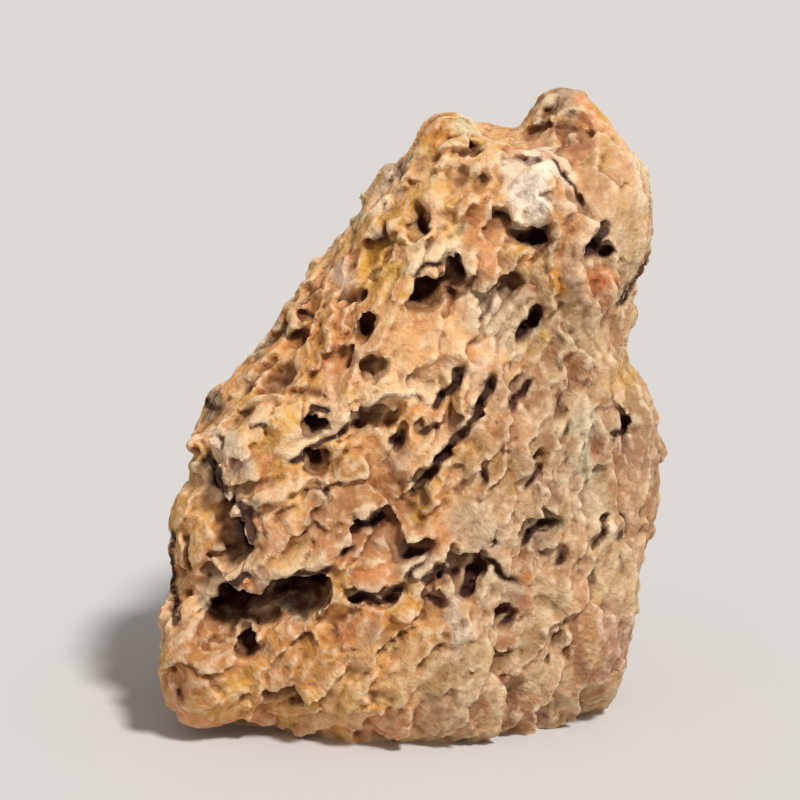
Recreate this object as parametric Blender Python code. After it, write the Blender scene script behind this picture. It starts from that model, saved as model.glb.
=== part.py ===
"""A dragon stone: one upright piece of water-worn clay rock.

It is one solid. The mass leans like a fin: a long slope on the left, a steep right side and a round head.
Water has washed soft clay out of it, so bowls, slots and caves meet in sharp crests, and the crests follow
a grain that fans out from nearly level on the left to upright on the right.

Tables hold millimetres. The front is the -Y side, and the stone stands on z = 0.
"""

import math

import bmesh
import bpy
import numpy as np
from mathutils import Matrix, Vector
from mathutils.bvhtree import BVHTree

MM = 0.001
SEED = 41

# The line of sight that each side's features are placed along: from a little above, 1.3 m away
SIGHT_TILT = math.radians(15)
SIGHT_DISTANCE = 1300 * MM
SIGHT_HEIGHT = 132 * MM

# Levels of the mass: height, left edge, right edge, front, back, and where across its front is fullest
LEVELS = (
    (-14, -66, 68, -48, 46, -12),
    (0, -86, 86, -62, 60, -12),
    (14, -97, 98, -74, 72, -12),
    (30, -100, 101, -80, 76, -14),
    (48, -98, 104, -78, 76, -14),
    (66, -97, 105, -75, 75, -12),
    (84, -95, 104, -72, 74, -10),
    (102, -90, 103, -68, 72, -6),
    (120, -79, 104, -64, 70, 0),
    (134, -75, 107, -61, 69, 4),
    (146, -64, 96, -58, 68, 8),
    (158, -52, 97, -55, 66, 12),
    (172, -49, 94, -51, 64, 16),
    (187, -34, 102, -47, 62, 22),
    (202, -24, 109, -43, 59, 28),
    (216, -12, 107, -38, 56, 34),
    (230, 4, 98, -32, 52, 40),
    (242, 15, 82, -24, 46, 46),
    (247, 26, 62, -12, 36, 48),
)
LEVEL_POINTS = 72
LEVEL_ROUNDNESS = 0.92

# Round masses that stand out of it: across, deep, height, and their three half sizes
KNOBS = (
    ("head", 81, 4, 211, 28, 34, 36),
    ("crown", 69, 12, 246, 15.5, 22, 18),
    ("back of the crown", 79, 10, 238, 13, 22, 18),
    ("left shoulder", 25, 8, 239, 14, 22, 15),
    ("white lump", 58, -25, 228, 11, 15, 18),
    ("left foot", -84, -46, 34, 20, 26, 27),
    ("left lobe", -82, -26, 90, 14, 22, 18),
    ("upper lobe", -54, -34, 124, 22, 22, 20),
    ("right wall", 97, 6, 92, 11, 34, 50),
)
BODY_VOXEL = 2.4 * MM
BODY_SMOOTHING = 12
SWAY = 3 * MM
SWAY_LENGTH = 75 * MM
WANDER_WAVES = 24

# Ledges and ridges: the side they are seen from, with 0 for the front and 90 for the right, how far they stand
# out, how wide they fade on the right of their line and on the left of it, walking along it, and the line's
# points as they are seen, across and up from the middle of the sight
CRESTS = (
    ("lip of the upper lobe", 0, 9, 26, 2.5, (-56, -62), (-60, -52), (-65, -43), (-72, -34), (-78, -20),
     (-81, -8)),
    ("middle ledge", 0, 7, 26, 2.5, (34, 22), (26, 14), (16, 5), (8, 3), (-3, 4), (-14, -1), (-22, -7),
     (-29, -7), (-38, -2), (-44, -8), (-50, -19)),
    ("ledge over the cave", 0, 9, 22, 2.5, (-5, -47), (-16, -50), (-24, -58), (-32, -65), (-40, -69),
     (-52, -71), (-60, -79), (-68, -73), (-79, -73), (-89, -67), (-97, -61)),
    ("ledge right of the cave", 0, 5, 14, 2.5, (23, -61), (10, -64), (3, -71), (-7, -77), (-16, -79),
     (-26, -77)),
    ("lip of the great hole", 0, 4, 12, 3, (28, 47), (30, 60), (25, 67), (14, 61), (5, 54), (0, 51)),
    ("long crest", 0, 4, 10, 2.5, (49, 14), (42, 3), (34, -9), (23, -21), (14, -31), (2, -40)),
    ("turn of the right side", 0, 6, 3, 16, (81, -73), (87, -49), (89, -27), (82, -8), (84, 14), (89, 31)),
    ("grey rib", 0, 5, 4, 4, (27, -107), (30, -92), (24, -78), (12, -72)),
    ("rib under the head", 0, 5, 3, 8, (82, 44), (76, 58), (78, 74), (86, 84)),
    ("shoulder crest", 0, 4, 10, 4, (-12, 84), (-4, 70), (-2, 58)),
    ("back, high ledge", 180, 8, 24, 2.5, (20, 60), (4, 48), (-18, 44), (-36, 50), (-62, 44)),
    ("back, middle ledge", 180, 9, 26, 2.5, (76, -8), (58, -20), (36, -14), (14, -24), (-10, -20), (-30, -32)),
    ("back, low ledge", 180, 7, 20, 2.5, (40, -72), (18, -62), (-8, -72), (-36, -64), (-60, -76)),
    ("right side, ledge", 90, 6, 20, 2.5, (34, 20), (16, 8), (-4, 12), (-24, 2)),
    ("right side, low ledge", 90, 6, 18, 2.5, (44, -60), (20, -52), (0, -62)),
    ("left side, ledge", 270, 7, 20, 2.5, (40, -30), (20, -40), (0, -34), (-24, -44)),
)
CREST_END_FADE = 9
CREST_DROOP = 0.35
CREST_SIDE_LIMIT = 3

# Bowls, slots and caves of each side, as they are seen: across and up from the middle of the sight, half
# length, half width, the length's angle from level, depth, and how far the middle stands out of the mouth
FRONT_HOLLOWS = (
    ("cave, left", -70, -89, 14, 11, 8, 34, 0.0),
    ("cave, right", -45, -86, 16, 12, 16, 40, 0.0),
    ("cave, middle", -58, -93, 12, 7, 8, 26, 0.0),
    ("slot by the cave", -11, -84, 13, 4, 8, 12, 0.0),
    ("round hole", -64, -106, 6, 5.5, 0, 12, 0.0),
    ("small hole", -82, -75, 5, 4, 0, 9, 0.0),
    ("pocket", -70, -54, 16, 10, 100, 18, 0.05),
    ("crack over the pocket", -77, -31, 11, 4.5, 116, 9, 0.0),
    ("edge crack", -92, -72, 18, 3, 92, 7, 0.0),
    ("eye hole", -36, -11, 8, 5, 18, 12, 0.0),
    ("deep hole", -33, -27, 8.5, 7, 70, 18, 0.0),
    ("slit beside it", -44, -26, 9, 3, 34, 6, 0.0),
    ("under the ledge", -14, -10, 11, 4.5, 24, 8, 0.0),
    ("teardrop", -3, -21, 9, 3.6, 60, 7, 0.0),
    ("curl", -38, -48, 9, 8, 30, 4, 0.3),
    ("star", -13, -55, 11, 7, 15, 12, 0.05),
    ("star arm, left", -22, -62, 11, 3, 42, 5, 0.2),
    ("star arm, right", -6, -62, 8, 3, 118, 4, 0.2),
    ("ledge wedge", 18, 1, 16, 6, 46, 16, 0.0),
    ("under the wedge", 12, -15, 8, 4, 12, 10, 0.0),
    ("long groove, low", 10, -35, 9, 2.6, 42, 6, 0.1),
    ("long groove, middle", 20, -22, 11, 3, 54, 7, 0.1),
    ("long groove, high", 31, -7, 11, 2.6, 52, 6, 0.1),
    ("long groove, end", 38, 5, 10, 2.8, 68, 5, 0.1),
    ("groove two", 51, 2, 11, 3.4, 54, 6, 0.1),
    ("groove three", 57, -33, 11, 3.6, 54, 6, 0.1),
    ("groove four", 36, -36, 8, 3, 76, 4, 0.2),
    ("brown pocket", 61, -60, 12, 9, 30, 12, 0.1),
    ("slot under it", 67, -69, 7, 3.4, 32, 6, 0.0),
    ("long crack", 87, -55, 13, 2.8, 66, 6, 0.0),
    ("side hole", 94, -57, 6, 4.4, 52, 8, 0.0),
    ("side groove", 94, -11, 9, 3.2, 74, 5, 0.1),
    ("wedge hole", 31, -77, 13, 5.5, 62, 14, 0.0),
    ("upright groove", 33, -92, 13, 4, 92, 5, 0.2),
    ("cup, left", 6, -67, 12, 6, 36, 12, 0.0),
    ("cup, right", 18, -76, 10, 6, 32, 12, 0.0),
    ("cup, low", 14, -90, 9, 7, 10, 6, 0.2),
    ("dark hole", 45, -94, 5, 4.5, 40, 8, 0.0),
    ("yellow pit", -11, 63, 14, 8, 92, 8, 0.2),
    ("narrow pit", 7, 76, 10, 5, 92, 8, 0.1),
    ("great hole", 15, 44, 12, 10, 20, 30, 0.0),
    ("great hole, right", 26, 50, 12, 6, 94, 16, 0.05),
    ("black slot", -15, 30, 7, 3.6, 92, 10, 0.0),
    ("leaf pit", -22, 43, 8, 4, 44, 6, 0.1),
    ("orange bowl", -40, 38, 9, 8, 40, 6, 0.2),
    ("red bowl", -53, 8, 12, 9, 20, 5, 0.3),
    ("bowl", -69, 3, 9, 8, 40, 4, 0.3),
    ("bowl", -60, -18, 11, 8, 20, 4, 0.3),
    ("bowl", -26, 14, 9, 7, 60, 4.5, 0.3),
    ("bowl", -11, 11, 8, 6, 30, 6, 0.1),
    ("smooth dish", 9, 20, 20, 15, 40, 4.5, 0.5),
    ("bowl", 22, 92, 9, 8, 30, 4, 0.3),
    ("bowl", 38, 92, 9, 6, 10, 4, 0.3),
    ("bowl", 19, 76, 8, 7, 30, 5, 0.2),
    ("bowl under the lump", 43, 71, 9, 8, 80, 8, 0.1),
    ("undercut", 57, 69, 11, 4.6, 4, 9, 0.0),
    ("head groove, high", 69, 97, 11, 2.2, 128, 5, 0.1),
    ("head groove, low", 77, 84, 10, 2.2, 122, 5, 0.1),
    ("head slash", 84, 65, 12, 3.8, 56, 12, 0.0),
    ("red pocket", 86, 53, 12, 9, 80, 12, 0.05),
    ("under the head", 99, 50, 17, 3.6, 58, 7, 0.1),
    ("crown hollow", 74, 111, 12, 8, 96, 4, 0.4),
    ("crown notch", 32, 108, 6, 5, 60, 7, 0.1),
    ("slit", 55, 30, 10, 2.8, 60, 9, 0.0),
    ("slit", 48, 47, 6, 3, 50, 6, 0.1),
    ("streak", 66, 50, 12, 4, 92, 3.5, 0.3),
    ("orange pit", 92, 11, 9, 6, 80, 5, 0.2),
    ("shallow cup", 8, -47, 8, 7, 20, 4, 0.3),
    ("bowl", -45, -68, 12, 7, 20, 3.5, 0.4),
    ("rough hollow", -48, -108, 12, 9, 30, 5, 0.3),
    ("rough hollow", -26, -98, 12, 8, 30, 5, 0.3),
    ("gap over the ground", -52, -128, 14, 5, 4, 12, 0.0),
)

BACK_HOLLOWS = (
    ("deep hole", 6, 36, 12, 9, 20, 20, 0.0),
    ("slot", -44, 36, 14, 5, 12, 14, 0.0),
    ("hole under the ledge", 44, -26, 14, 8, 20, 22, 0.0),
    ("hole under the ledge", 0, -33, 12, 6, 10, 14, 0.0),
    ("long slot", 78, -60, 18, 5, 80, 12, 0.0),
    ("cave", -22, -80, 18, 10, 10, 24, 0.0),
    ("round pit", 52, -96, 9, 8, 0, 12, 0.1),
    ("pit", -66, -30, 10, 7, 60, 12, 0.1),
    ("pit", -70, 84, 9, 7, 40, 10, 0.1),
    ("pit", -34, 92, 10, 6, 30, 10, 0.1),
)
RIGHT_HOLLOWS = (
    ("slot under the ledge", 6, 2, 13, 5, 20, 12, 0.0),
    ("pit", 28, 58, 10, 7, 80, 12, 0.1),
    ("pit", 30, 88, 8, 6, 60, 8, 0.1),
    ("cave", 18, -68, 14, 7, 20, 16, 0.0),
    ("slot", -30, -30, 14, 4, 84, 8, 0.0),
)
LEFT_HOLLOWS = (
    ("hole under the ledge", 16, -48, 14, 8, 10, 16, 0.0),
    ("pit", -14, 0, 10, 8, 40, 10, 0.1),
    ("pit", 26, 20, 10, 7, 60, 10, 0.1),
    ("slot", 30, -96, 14, 5, 20, 12, 0.0),
)
HOLLOWS = {0: FRONT_HOLLOWS, 90: RIGHT_HOLLOWS, 180: BACK_HOLLOWS, 270: LEFT_HOLLOWS}

# Places that stay smooth: across, up, and the radius kept clear of scattered bowls
PLAIN_PLACES = (
    (90, 88, 17),
    (-82, -106, 14),
    (9, 20, 14),
    (32, -56, 13),
    (59, 88, 9),
    (104, -40, 8),
)

# Scoops on the back, then bowls wherever there is room. Each set has the range of the half
# length, of the half width as a share of it, and of the depth as a share of the half width, then the room that
# a bowl keeps as a share of its size, and the number of places tried
SCOOPS = ((20 * MM, 34 * MM), (0.5, 0.8), (0.5, 0.8), 0.75, 1500)
BOWLS = ((8 * MM, 15 * MM), (0.45, 0.8), (0.4, 0.8), 1.3, 6000)
BOWL_LIFT = 0.3
BEHIND = 0.25
PLACED_ROOM = 0.5
STRAY_REACH = 200 * MM

# The grain turns from nearly level at the left to upright at the right, and its hollows grow slimmer that way
GRAIN_LEFT = -70 * MM
GRAIN_WIDTH = 150 * MM
GRAIN_START = math.radians(22)
GRAIN_TURN = math.radians(58)
GRAIN_DEPTH_WAVE = 0.25
GRAIN_SPREAD = math.radians(16)
GRAIN_SLIMMING = 0.45

# Each hollow is dug aslant: inward and up the grain, which undercuts the crest above it
HOLLOW_RISE = 0.7
HOLLOW_LEAN = -0.3
HOLLOW_SQUARENESS = 2.6
HOLLOW_HEADROOM = 1.3
DIG_PASSES = 2
BEND = 1.2 * MM
BEND_LENGTH = 26 * MM
DUG_VOXEL = 1.7 * MM
DUG_SMOOTHING = 2

TRIANGLES = 9600
CLAY_COLOUR = (0.52, 0.31, 0.16, 1)
CLAY_ROUGHNESS = 0.88


def clear_scene():
    for obj in list(bpy.data.objects):
        bpy.data.objects.remove(obj, do_unlink=True)


def new_object(name, mesh):
    obj = bpy.data.objects.new(name, mesh)
    bpy.context.scene.collection.objects.link(obj)
    return obj


def bake(obj):
    """Replaces the object's mesh with the one its modifiers make."""
    graph = bpy.context.evaluated_depsgraph_get()
    made = bpy.data.meshes.new_from_object(obj.evaluated_get(graph))
    old = obj.data
    obj.modifiers.clear()
    obj.data = made
    bpy.data.meshes.remove(old)


def keep_main_shell(bm):
    """Removes the crumbs and sealed bubbles that lie apart from the stone's own skin."""
    unseen = set(bm.verts)
    shells = []
    while unseen:
        front = [unseen.pop()]
        shell = front[:]
        while front:
            near = {edge.other_vert(vert) for vert in front for edge in vert.link_edges} & unseen
            unseen -= near
            front = list(near)
            shell += front
        shells.append(shell)
    shells.sort(key=len)
    bmesh.ops.delete(bm, geom=[vert for shell in shells[:-1] for vert in shell], context="VERTS")


def reskin(obj, voxel, smoothing):
    """One even skin over everything in the mesh, with inner walls gone."""
    skin = obj.modifiers.new("skin", "REMESH")
    skin.mode = "VOXEL"
    skin.voxel_size = voxel
    bake(obj)
    bm = bmesh.new()
    bm.from_mesh(obj.data)
    keep_main_shell(bm)
    for _ in range(smoothing):
        bmesh.ops.smooth_vert(bm, verts=bm.verts, factor=0.5, use_axis_x=True, use_axis_y=True, use_axis_z=True)
    bm.to_mesh(obj.data)
    bm.free()


def points_of(mesh):
    points = np.empty(len(mesh.vertices) * 3)
    mesh.vertices.foreach_get("co", points)
    return points.reshape(-1, 3)


def normals_of(mesh):
    normals = np.empty(len(mesh.vertices) * 3)
    mesh.vertex_normals.foreach_get("vector", normals)
    return normals.reshape(-1, 3)


def set_points(mesh, points):
    mesh.vertices.foreach_set("co", points.astype(np.float32).ravel())
    mesh.update()


def wander(points, length):
    """An aimless smooth drift at each point, as waves of about that length from every side."""
    rng = np.random.default_rng(SEED)
    ways = rng.normal(size=(WANDER_WAVES, 3))
    ways *= math.tau / length / np.linalg.norm(ways, axis=1)[:, None]
    phases = rng.uniform(0, math.tau, WANDER_WAVES)
    drifts = rng.normal(size=(WANDER_WAVES, 3)) / math.sqrt(WANDER_WAVES)
    return np.sin(points @ ways.T + phases) @ drifts


def level_ring(bm, height, left, right, front, back, fullest):
    """One level's outline: four quarter curves that meet at its left, right, front and back."""
    ring = bmesh.ops.create_circle(bm, segments=LEVEL_POINTS, radius=1)["verts"]
    middle = (front + back) / 2
    for vert in ring:
        across, deep = vert.co.x, vert.co.y
        reach = right - fullest if across > 0 else fullest - left
        thick = back - middle if deep > 0 else middle - front
        vert.co = (
            fullest + math.copysign(abs(across) ** LEVEL_ROUNDNESS, across) * reach,
            middle + math.copysign(abs(deep) ** LEVEL_ROUNDNESS, deep) * thick,
            height,
        )
        vert.co *= MM
    return list({edge for vert in ring for edge in vert.link_edges})


def make_body():
    """The whole mass before anything is washed out of it."""
    bm = bmesh.new()
    rings = [level_ring(bm, *level) for level in LEVELS]
    for lower, upper in zip(rings, rings[1:]):
        bmesh.ops.bridge_loops(bm, edges=lower + upper)
    bmesh.ops.holes_fill(bm, edges=rings[0] + rings[-1])
    for _, across, deep, height, *half in KNOBS:
        place = Matrix.Translation(Vector((across, deep, height)) * MM)
        size = Matrix.Diagonal((*(Vector(half) * MM), 1))
        bmesh.ops.create_icosphere(bm, subdivisions=4, radius=1, matrix=place @ size)
    bmesh.ops.recalc_face_normals(bm, faces=bm.faces)
    mesh = bpy.data.meshes.new("dragon_stone")
    bm.to_mesh(mesh)
    bm.free()
    body = new_object("dragon_stone", mesh)
    reskin(body, BODY_VOXEL, BODY_SMOOTHING)
    points = points_of(body.data)
    set_points(body.data, points + SWAY * wander(points, SWAY_LENGTH))
    return body


def sight_axes(azimuth):
    """Right, up and away, as seen along the sight from that side; 0 is the front."""
    turn = Matrix.Rotation(math.radians(azimuth), 3, "Z")
    right = turn @ Vector((1, 0, 0))
    up = turn @ Vector((0, math.sin(SIGHT_TILT), math.cos(SIGHT_TILT)))
    away = turn @ Vector((0, math.cos(SIGHT_TILT), -math.sin(SIGHT_TILT)))
    return right, up, away


def seen_point(tree, azimuth, across, up):
    """Where the sight line through that place meets the surface, with the surface's normal there."""
    right, rise, away = sight_axes(azimuth)
    middle = Vector((0, 0, SIGHT_HEIGHT))
    eye = middle - away * SIGHT_DISTANCE
    target = middle + (right * across + rise * up) * MM
    point, normal, _, _ = tree.ray_cast(eye, (target - eye).normalized())
    return point, normal


def hollow_at(point, normal, along, half_length, half_width, depth, lift):
    """A slanted hollow of this size: its middle, its three half axes as a matrix, and its reach."""
    along = (along - normal * along.dot(normal)).normalized()
    beside = normal.cross(along)
    lean = Vector((HOLLOW_LEAN, 0, 1))
    inward = (HOLLOW_RISE * (lean - normal * lean.dot(normal)) - normal).normalized()
    mouth = math.sqrt(1 - lift * lift)
    reach = depth / (1 - lift)
    axes = np.column_stack((along * half_length / mouth, beside * half_width / mouth, inward * reach))
    centre = np.array(point - inward * reach * lift)
    return centre, axes, np.abs(axes).sum(axis=1).max()


def sight_places(points, azimuth):
    """Across and up in the sight's middle plane, in millimetres, and the way from the eye to each point."""
    right, up, away = (np.array(axis) for axis in sight_axes(azimuth))
    offset = points - (0, 0, SIGHT_HEIGHT)
    scale = SIGHT_DISTANCE / (SIGHT_DISTANCE + offset @ away) / MM
    sights = offset + away * SIGHT_DISTANCE
    sights /= np.linalg.norm(sights, axis=1)[:, None]
    return np.column_stack((offset @ right, offset @ up)) * scale[:, None], sights


def crest_height(places, height, right_fade, left_fade, line):
    """How far a crest stands out at each place, with a fade on either side and at both ends."""
    line = np.array(line, dtype=float)
    steps = np.linalg.norm(np.diff(line, axis=0), axis=1)
    travelled = np.concatenate(((0,), np.cumsum(steps)))
    best = np.full(len(places), np.inf)
    left = np.zeros(len(places), dtype=bool)
    along = np.zeros(len(places))
    for start, end, begun, step in zip(line, line[1:], travelled, steps):
        way = (end - start) / step
        offset = places - start
        reached = np.clip(offset @ way, 0, step)
        gap = np.linalg.norm(offset - reached[:, None] * way, axis=1)
        nearer = gap < best
        best[nearer] = gap[nearer]
        left[nearer] = (way[0] * offset[:, 1] - way[1] * offset[:, 0] > 0)[nearer]
        along[nearer] = (begun + reached)[nearer]
    fade = np.where(left, left_fade, right_fade)
    ends = np.clip(np.minimum(along, travelled[-1] - along) / CREST_END_FADE, 0, 1)
    return height * np.exp(-best / fade) * ends


def raise_crests(mesh):
    points, normals = points_of(mesh), normals_of(mesh)
    height = np.zeros(len(points))
    for _, azimuth, high, right_fade, left_fade, *line in CRESTS:
        places, sights = sight_places(points, azimuth)
        facing = np.clip(-(sights * normals).sum(axis=1) * CREST_SIDE_LIMIT, 0, 1)
        height += facing * crest_height(places, high, right_fade, left_fade, line)
    outward = normals + (0, 0, -CREST_DROOP)
    set_points(mesh, points + outward * (height * MM)[:, None])


def placed_hollows(tree):
    made = []
    for azimuth, table in HOLLOWS.items():
        right, up, _ = sight_axes(azimuth)
        for _, across, rise, half_length, half_width, angle, depth, lift in table:
            point, normal = seen_point(tree, azimuth, across, rise)
            turn = math.radians(angle)
            along = right * math.cos(turn) + up * math.sin(turn)
            made.append(hollow_at(point, normal, along, half_length * MM, half_width * MM, depth * MM, lift))
    return made


def grain_share(point):
    """From 0 at the left edge to 1 at the right."""
    return min(max((point.x - GRAIN_LEFT) / GRAIN_WIDTH, 0), 1)


def grain_at(point):
    """The grain's direction: nearly level at the left edge and upright at the right."""
    turn = GRAIN_START + GRAIN_TURN * grain_share(point)
    return Vector((math.cos(turn), GRAIN_DEPTH_WAVE * math.sin(3 * turn), math.sin(turn)))


def random_hit(tree, rng):
    """A point of the surface where a stray line from outside meets it, with its normal, or nothing."""
    way = Vector(rng.normal(size=3)).normalized()
    aside = Vector(rng.uniform(-1, 1, size=3)) * STRAY_REACH
    start = Vector((0, 0, SIGHT_HEIGHT)) + aside - aside.dot(way) * way - way * 2 * STRAY_REACH
    point, normal, _, _ = tree.ray_cast(start, way)
    return point, normal


def scatter(tree, rng, bowls, room_taken, behind_only):
    """Hollows where stray points find room for them, longer along the grain than across it."""
    lengths, slimness, depths, room, tries = bowls
    centres = [centre for centre, _ in room_taken]
    radii = [radius for _, radius in room_taken]
    made = []
    for _ in range(tries):
        point, normal = random_hit(tree, rng)
        half_length = rng.uniform(*lengths)
        narrow = rng.uniform(*slimness)
        depth_share = rng.uniform(*depths)
        twist = rng.normal(0, GRAIN_SPREAD)
        if point is None or (behind_only and normal.y < BEHIND):
            continue
        half_width = half_length * narrow * (1 - GRAIN_SLIMMING * grain_share(point))
        depth = half_width * depth_share
        radius = room * math.sqrt(half_length * half_width)
        gaps = np.linalg.norm(np.array(centres).reshape(-1, 3) - point, axis=1)
        if (gaps < np.array(radii) + radius).any():
            continue
        along = Matrix.Rotation(twist, 3, normal) @ grain_at(point)
        made.append(hollow_at(point, normal, along, half_length, half_width, depth, BOWL_LIFT))
        centres.append(np.array(point))
        radii.append(radius)
    return made


def plain_places(tree):
    points = [seen_point(tree, 0, across, up)[0] for across, up, _ in PLAIN_PLACES]
    return [(np.array(point), place[2] * MM) for point, place in zip(points, PLAIN_PLACES)]


def tree_of(mesh):
    corners = [vert.co.copy() for vert in mesh.vertices]
    return BVHTree.FromPolygons(corners, [tuple(face.vertices) for face in mesh.polygons])


def dig(mesh, hollows):
    """Pushes each point that lies in the way of a hollow in to its floor. A slow wave bends every outline."""
    points = points_of(mesh)
    bend = BEND * wander(points, BEND_LENGTH)
    points += bend
    for _ in range(DIG_PASSES):
        for centre, axes, reach in hollows:
            offset = points - centre
            near = np.flatnonzero((np.abs(offset) < reach * HOLLOW_HEADROOM).all(axis=1))
            local = offset[near] @ np.linalg.inv(axes).T
            out = np.minimum(np.hypot(local[:, 0], local[:, 1]), 1)
            floor = np.sqrt(1 - out ** HOLLOW_SQUARENESS)
            push = np.where(local[:, 2] > -HOLLOW_HEADROOM, floor - local[:, 2], 0)
            push[out >= 1] = 0
            points[near] += axes[:, 2] * np.maximum(push, 0)[:, None]
    set_points(mesh, points - bend)


def cut_foot(obj):
    """The small flat spot that it rests on."""
    bm = bmesh.new()
    bm.from_mesh(obj.data)
    every = bm.verts[:] + bm.edges[:] + bm.faces[:]
    cut = bmesh.ops.bisect_plane(bm, geom=every, plane_co=(0, 0, 0), plane_no=(0, 0, -1), clear_outer=True)
    rim = [item for item in cut["geom_cut"] if isinstance(item, bmesh.types.BMEdge)]
    bmesh.ops.holes_fill(bm, edges=rim)
    bmesh.ops.triangulate(bm, faces=bm.faces)
    keep_main_shell(bm)
    bm.to_mesh(obj.data)
    bm.free()


def centre_on_footprint(mesh):
    points = points_of(mesh)
    low, high = points.min(axis=0), points.max(axis=0)
    points -= ((low[0] + high[0]) / 2, (low[1] + high[1]) / 2, low[2])
    set_points(mesh, points)


def clay_stone():
    material = bpy.data.materials.new("clay_stone")
    material.use_nodes = True
    shader = material.node_tree.nodes["Principled BSDF"]
    shader.inputs["Base Color"].default_value = CLAY_COLOUR
    shader.inputs["Roughness"].default_value = CLAY_ROUGHNESS
    shader.inputs["Metallic"].default_value = 0
    return material


def main():
    clear_scene()
    rng = np.random.default_rng(SEED)
    stone = make_body()
    dig(stone.data, scatter(tree_of(stone.data), rng, SCOOPS, [], True))
    raise_crests(stone.data)
    reskin(stone, BODY_VOXEL, DUG_SMOOTHING)
    tree = tree_of(stone.data)
    hollows = placed_hollows(tree)
    taken = [(centre, PLACED_ROOM * reach) for centre, _, reach in hollows] + plain_places(tree)
    dig(stone.data, hollows + scatter(tree, rng, BOWLS, taken, False))
    reskin(stone, DUG_VOXEL, DUG_SMOOTHING)
    thin = stone.modifiers.new("thin", "DECIMATE")
    thin.ratio = TRIANGLES / (2 * len(stone.data.polygons))
    thin.use_collapse_triangulate = True
    bake(stone)
    cut_foot(stone)
    centre_on_footprint(stone.data)
    stone.data.materials.append(clay_stone())


main()
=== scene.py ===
import math

import bmesh
import bpy
import numpy as np
from mathutils import Matrix, Vector, noise
from mathutils.bvhtree import BVHTree


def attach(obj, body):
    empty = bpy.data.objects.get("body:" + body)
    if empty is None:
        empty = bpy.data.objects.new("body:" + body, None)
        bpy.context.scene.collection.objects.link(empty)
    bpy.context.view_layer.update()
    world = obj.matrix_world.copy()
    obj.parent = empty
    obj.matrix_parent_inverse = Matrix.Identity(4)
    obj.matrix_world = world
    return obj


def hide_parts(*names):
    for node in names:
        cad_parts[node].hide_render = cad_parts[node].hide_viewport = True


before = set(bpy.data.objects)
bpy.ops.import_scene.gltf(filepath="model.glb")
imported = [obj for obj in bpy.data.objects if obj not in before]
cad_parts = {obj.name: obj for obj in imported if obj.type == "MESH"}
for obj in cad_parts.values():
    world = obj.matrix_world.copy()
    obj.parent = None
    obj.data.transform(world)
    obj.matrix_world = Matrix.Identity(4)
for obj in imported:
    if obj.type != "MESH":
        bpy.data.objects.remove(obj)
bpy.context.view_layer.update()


# The mass of the stone
# A dragon stone is a lump of old clay and silt, pressed hard in the ground and dug out of it in one piece. This
# one is a leaning fin: its levels run from a long foot to a narrow top that leans right, under a round head.
MM = 0.001
SEED = 41
RING_POINTS = 72
SQUARENESS = 0.92  # below 1, a level's outline is fuller than an oval
DRIFT, DRIFT_LENGTH = 3 * MM, 75 * MM
FIRST_VOXEL, FIRST_SMOOTHING = 2.4 * MM, 12
LEVELS = (
    # height, left edge, right edge, front, back, and where across its front is fullest
    (-14, -66, 68, -48, 46, -12),
    (0, -86, 86, -62, 60, -12),
    (14, -97, 98, -74, 72, -12),
    (30, -100, 101, -80, 76, -14),
    (48, -98, 104, -78, 76, -14),
    (66, -97, 105, -75, 75, -12),
    (84, -95, 104, -72, 74, -10),
    (102, -90, 103, -68, 72, -6),
    (120, -79, 104, -64, 70, 0),
    (134, -75, 107, -61, 69, 4),
    (146, -64, 96, -58, 68, 8),
    (158, -52, 97, -55, 66, 12),
    (172, -49, 94, -51, 64, 16),
    (187, -34, 102, -47, 62, 22),
    (202, -24, 109, -43, 59, 28),
    (216, -12, 107, -38, 56, 34),
    (230, 4, 98, -32, 52, 40),
    (242, 15, 82, -24, 46, 46),
    (247, 26, 62, -12, 36, 48),
)
KNOBS = (
    # across, deep, height, and three half sizes
    ("head", 81, 4, 211, 28, 34, 36),
    ("crown", 69, 12, 246, 15.5, 22, 18),
    ("back of the crown", 79, 10, 238, 13, 22, 18),
    ("left shoulder", 25, 8, 239, 14, 22, 15),
    ("white lump", 58, -25, 228, 11, 15, 18),
    ("left foot", -84, -46, 34, 20, 26, 27),
    ("left lobe", -82, -26, 90, 14, 22, 18),
    ("upper lobe", -54, -34, 124, 22, 22, 20),
    ("right wall", 97, 6, 92, 11, 34, 50),
)


def points_of(mesh):
    points = np.empty(len(mesh.vertices) * 3)
    mesh.vertices.foreach_get("co", points)
    return points.reshape(-1, 3)


def set_points(mesh, points):
    mesh.vertices.foreach_set("co", points.astype(np.float32).ravel())
    mesh.update()


def bake(piece):
    """Replaces the piece's mesh with the one its modifiers make."""
    graph = bpy.context.evaluated_depsgraph_get()
    made = bpy.data.meshes.new_from_object(piece.evaluated_get(graph))
    old = piece.data
    piece.modifiers.clear()
    piece.data = made
    bpy.data.meshes.remove(old)


def keep_main_shell(bm):
    """Removes the crumbs and sealed bubbles that lie apart from the stone's own skin."""
    unseen = set(bm.verts)
    shells = []
    while unseen:
        front = [unseen.pop()]
        shell = front[:]
        while front:
            near = {edge.other_vert(vert) for vert in front for edge in vert.link_edges} & unseen
            unseen -= near
            front = list(near)
            shell += front
        shells.append(shell)
    shells.sort(key=len)
    bmesh.ops.delete(bm, geom=[vert for shell in shells[:-1] for vert in shell], context="VERTS")


def reskin(piece, voxel, smoothing):
    """One even skin over everything in the mesh, with inner walls gone."""
    skin = piece.modifiers.new("skin", "REMESH")
    skin.mode = "VOXEL"
    skin.voxel_size = voxel
    bake(piece)
    bm = bmesh.new()
    bm.from_mesh(piece.data)
    keep_main_shell(bm)
    axes = {"use_axis_x": True, "use_axis_y": True, "use_axis_z": True}
    for _ in range(smoothing):
        bmesh.ops.smooth_vert(bm, verts=bm.verts, factor=0.5, **axes)
    bm.to_mesh(piece.data)
    bm.free()


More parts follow.
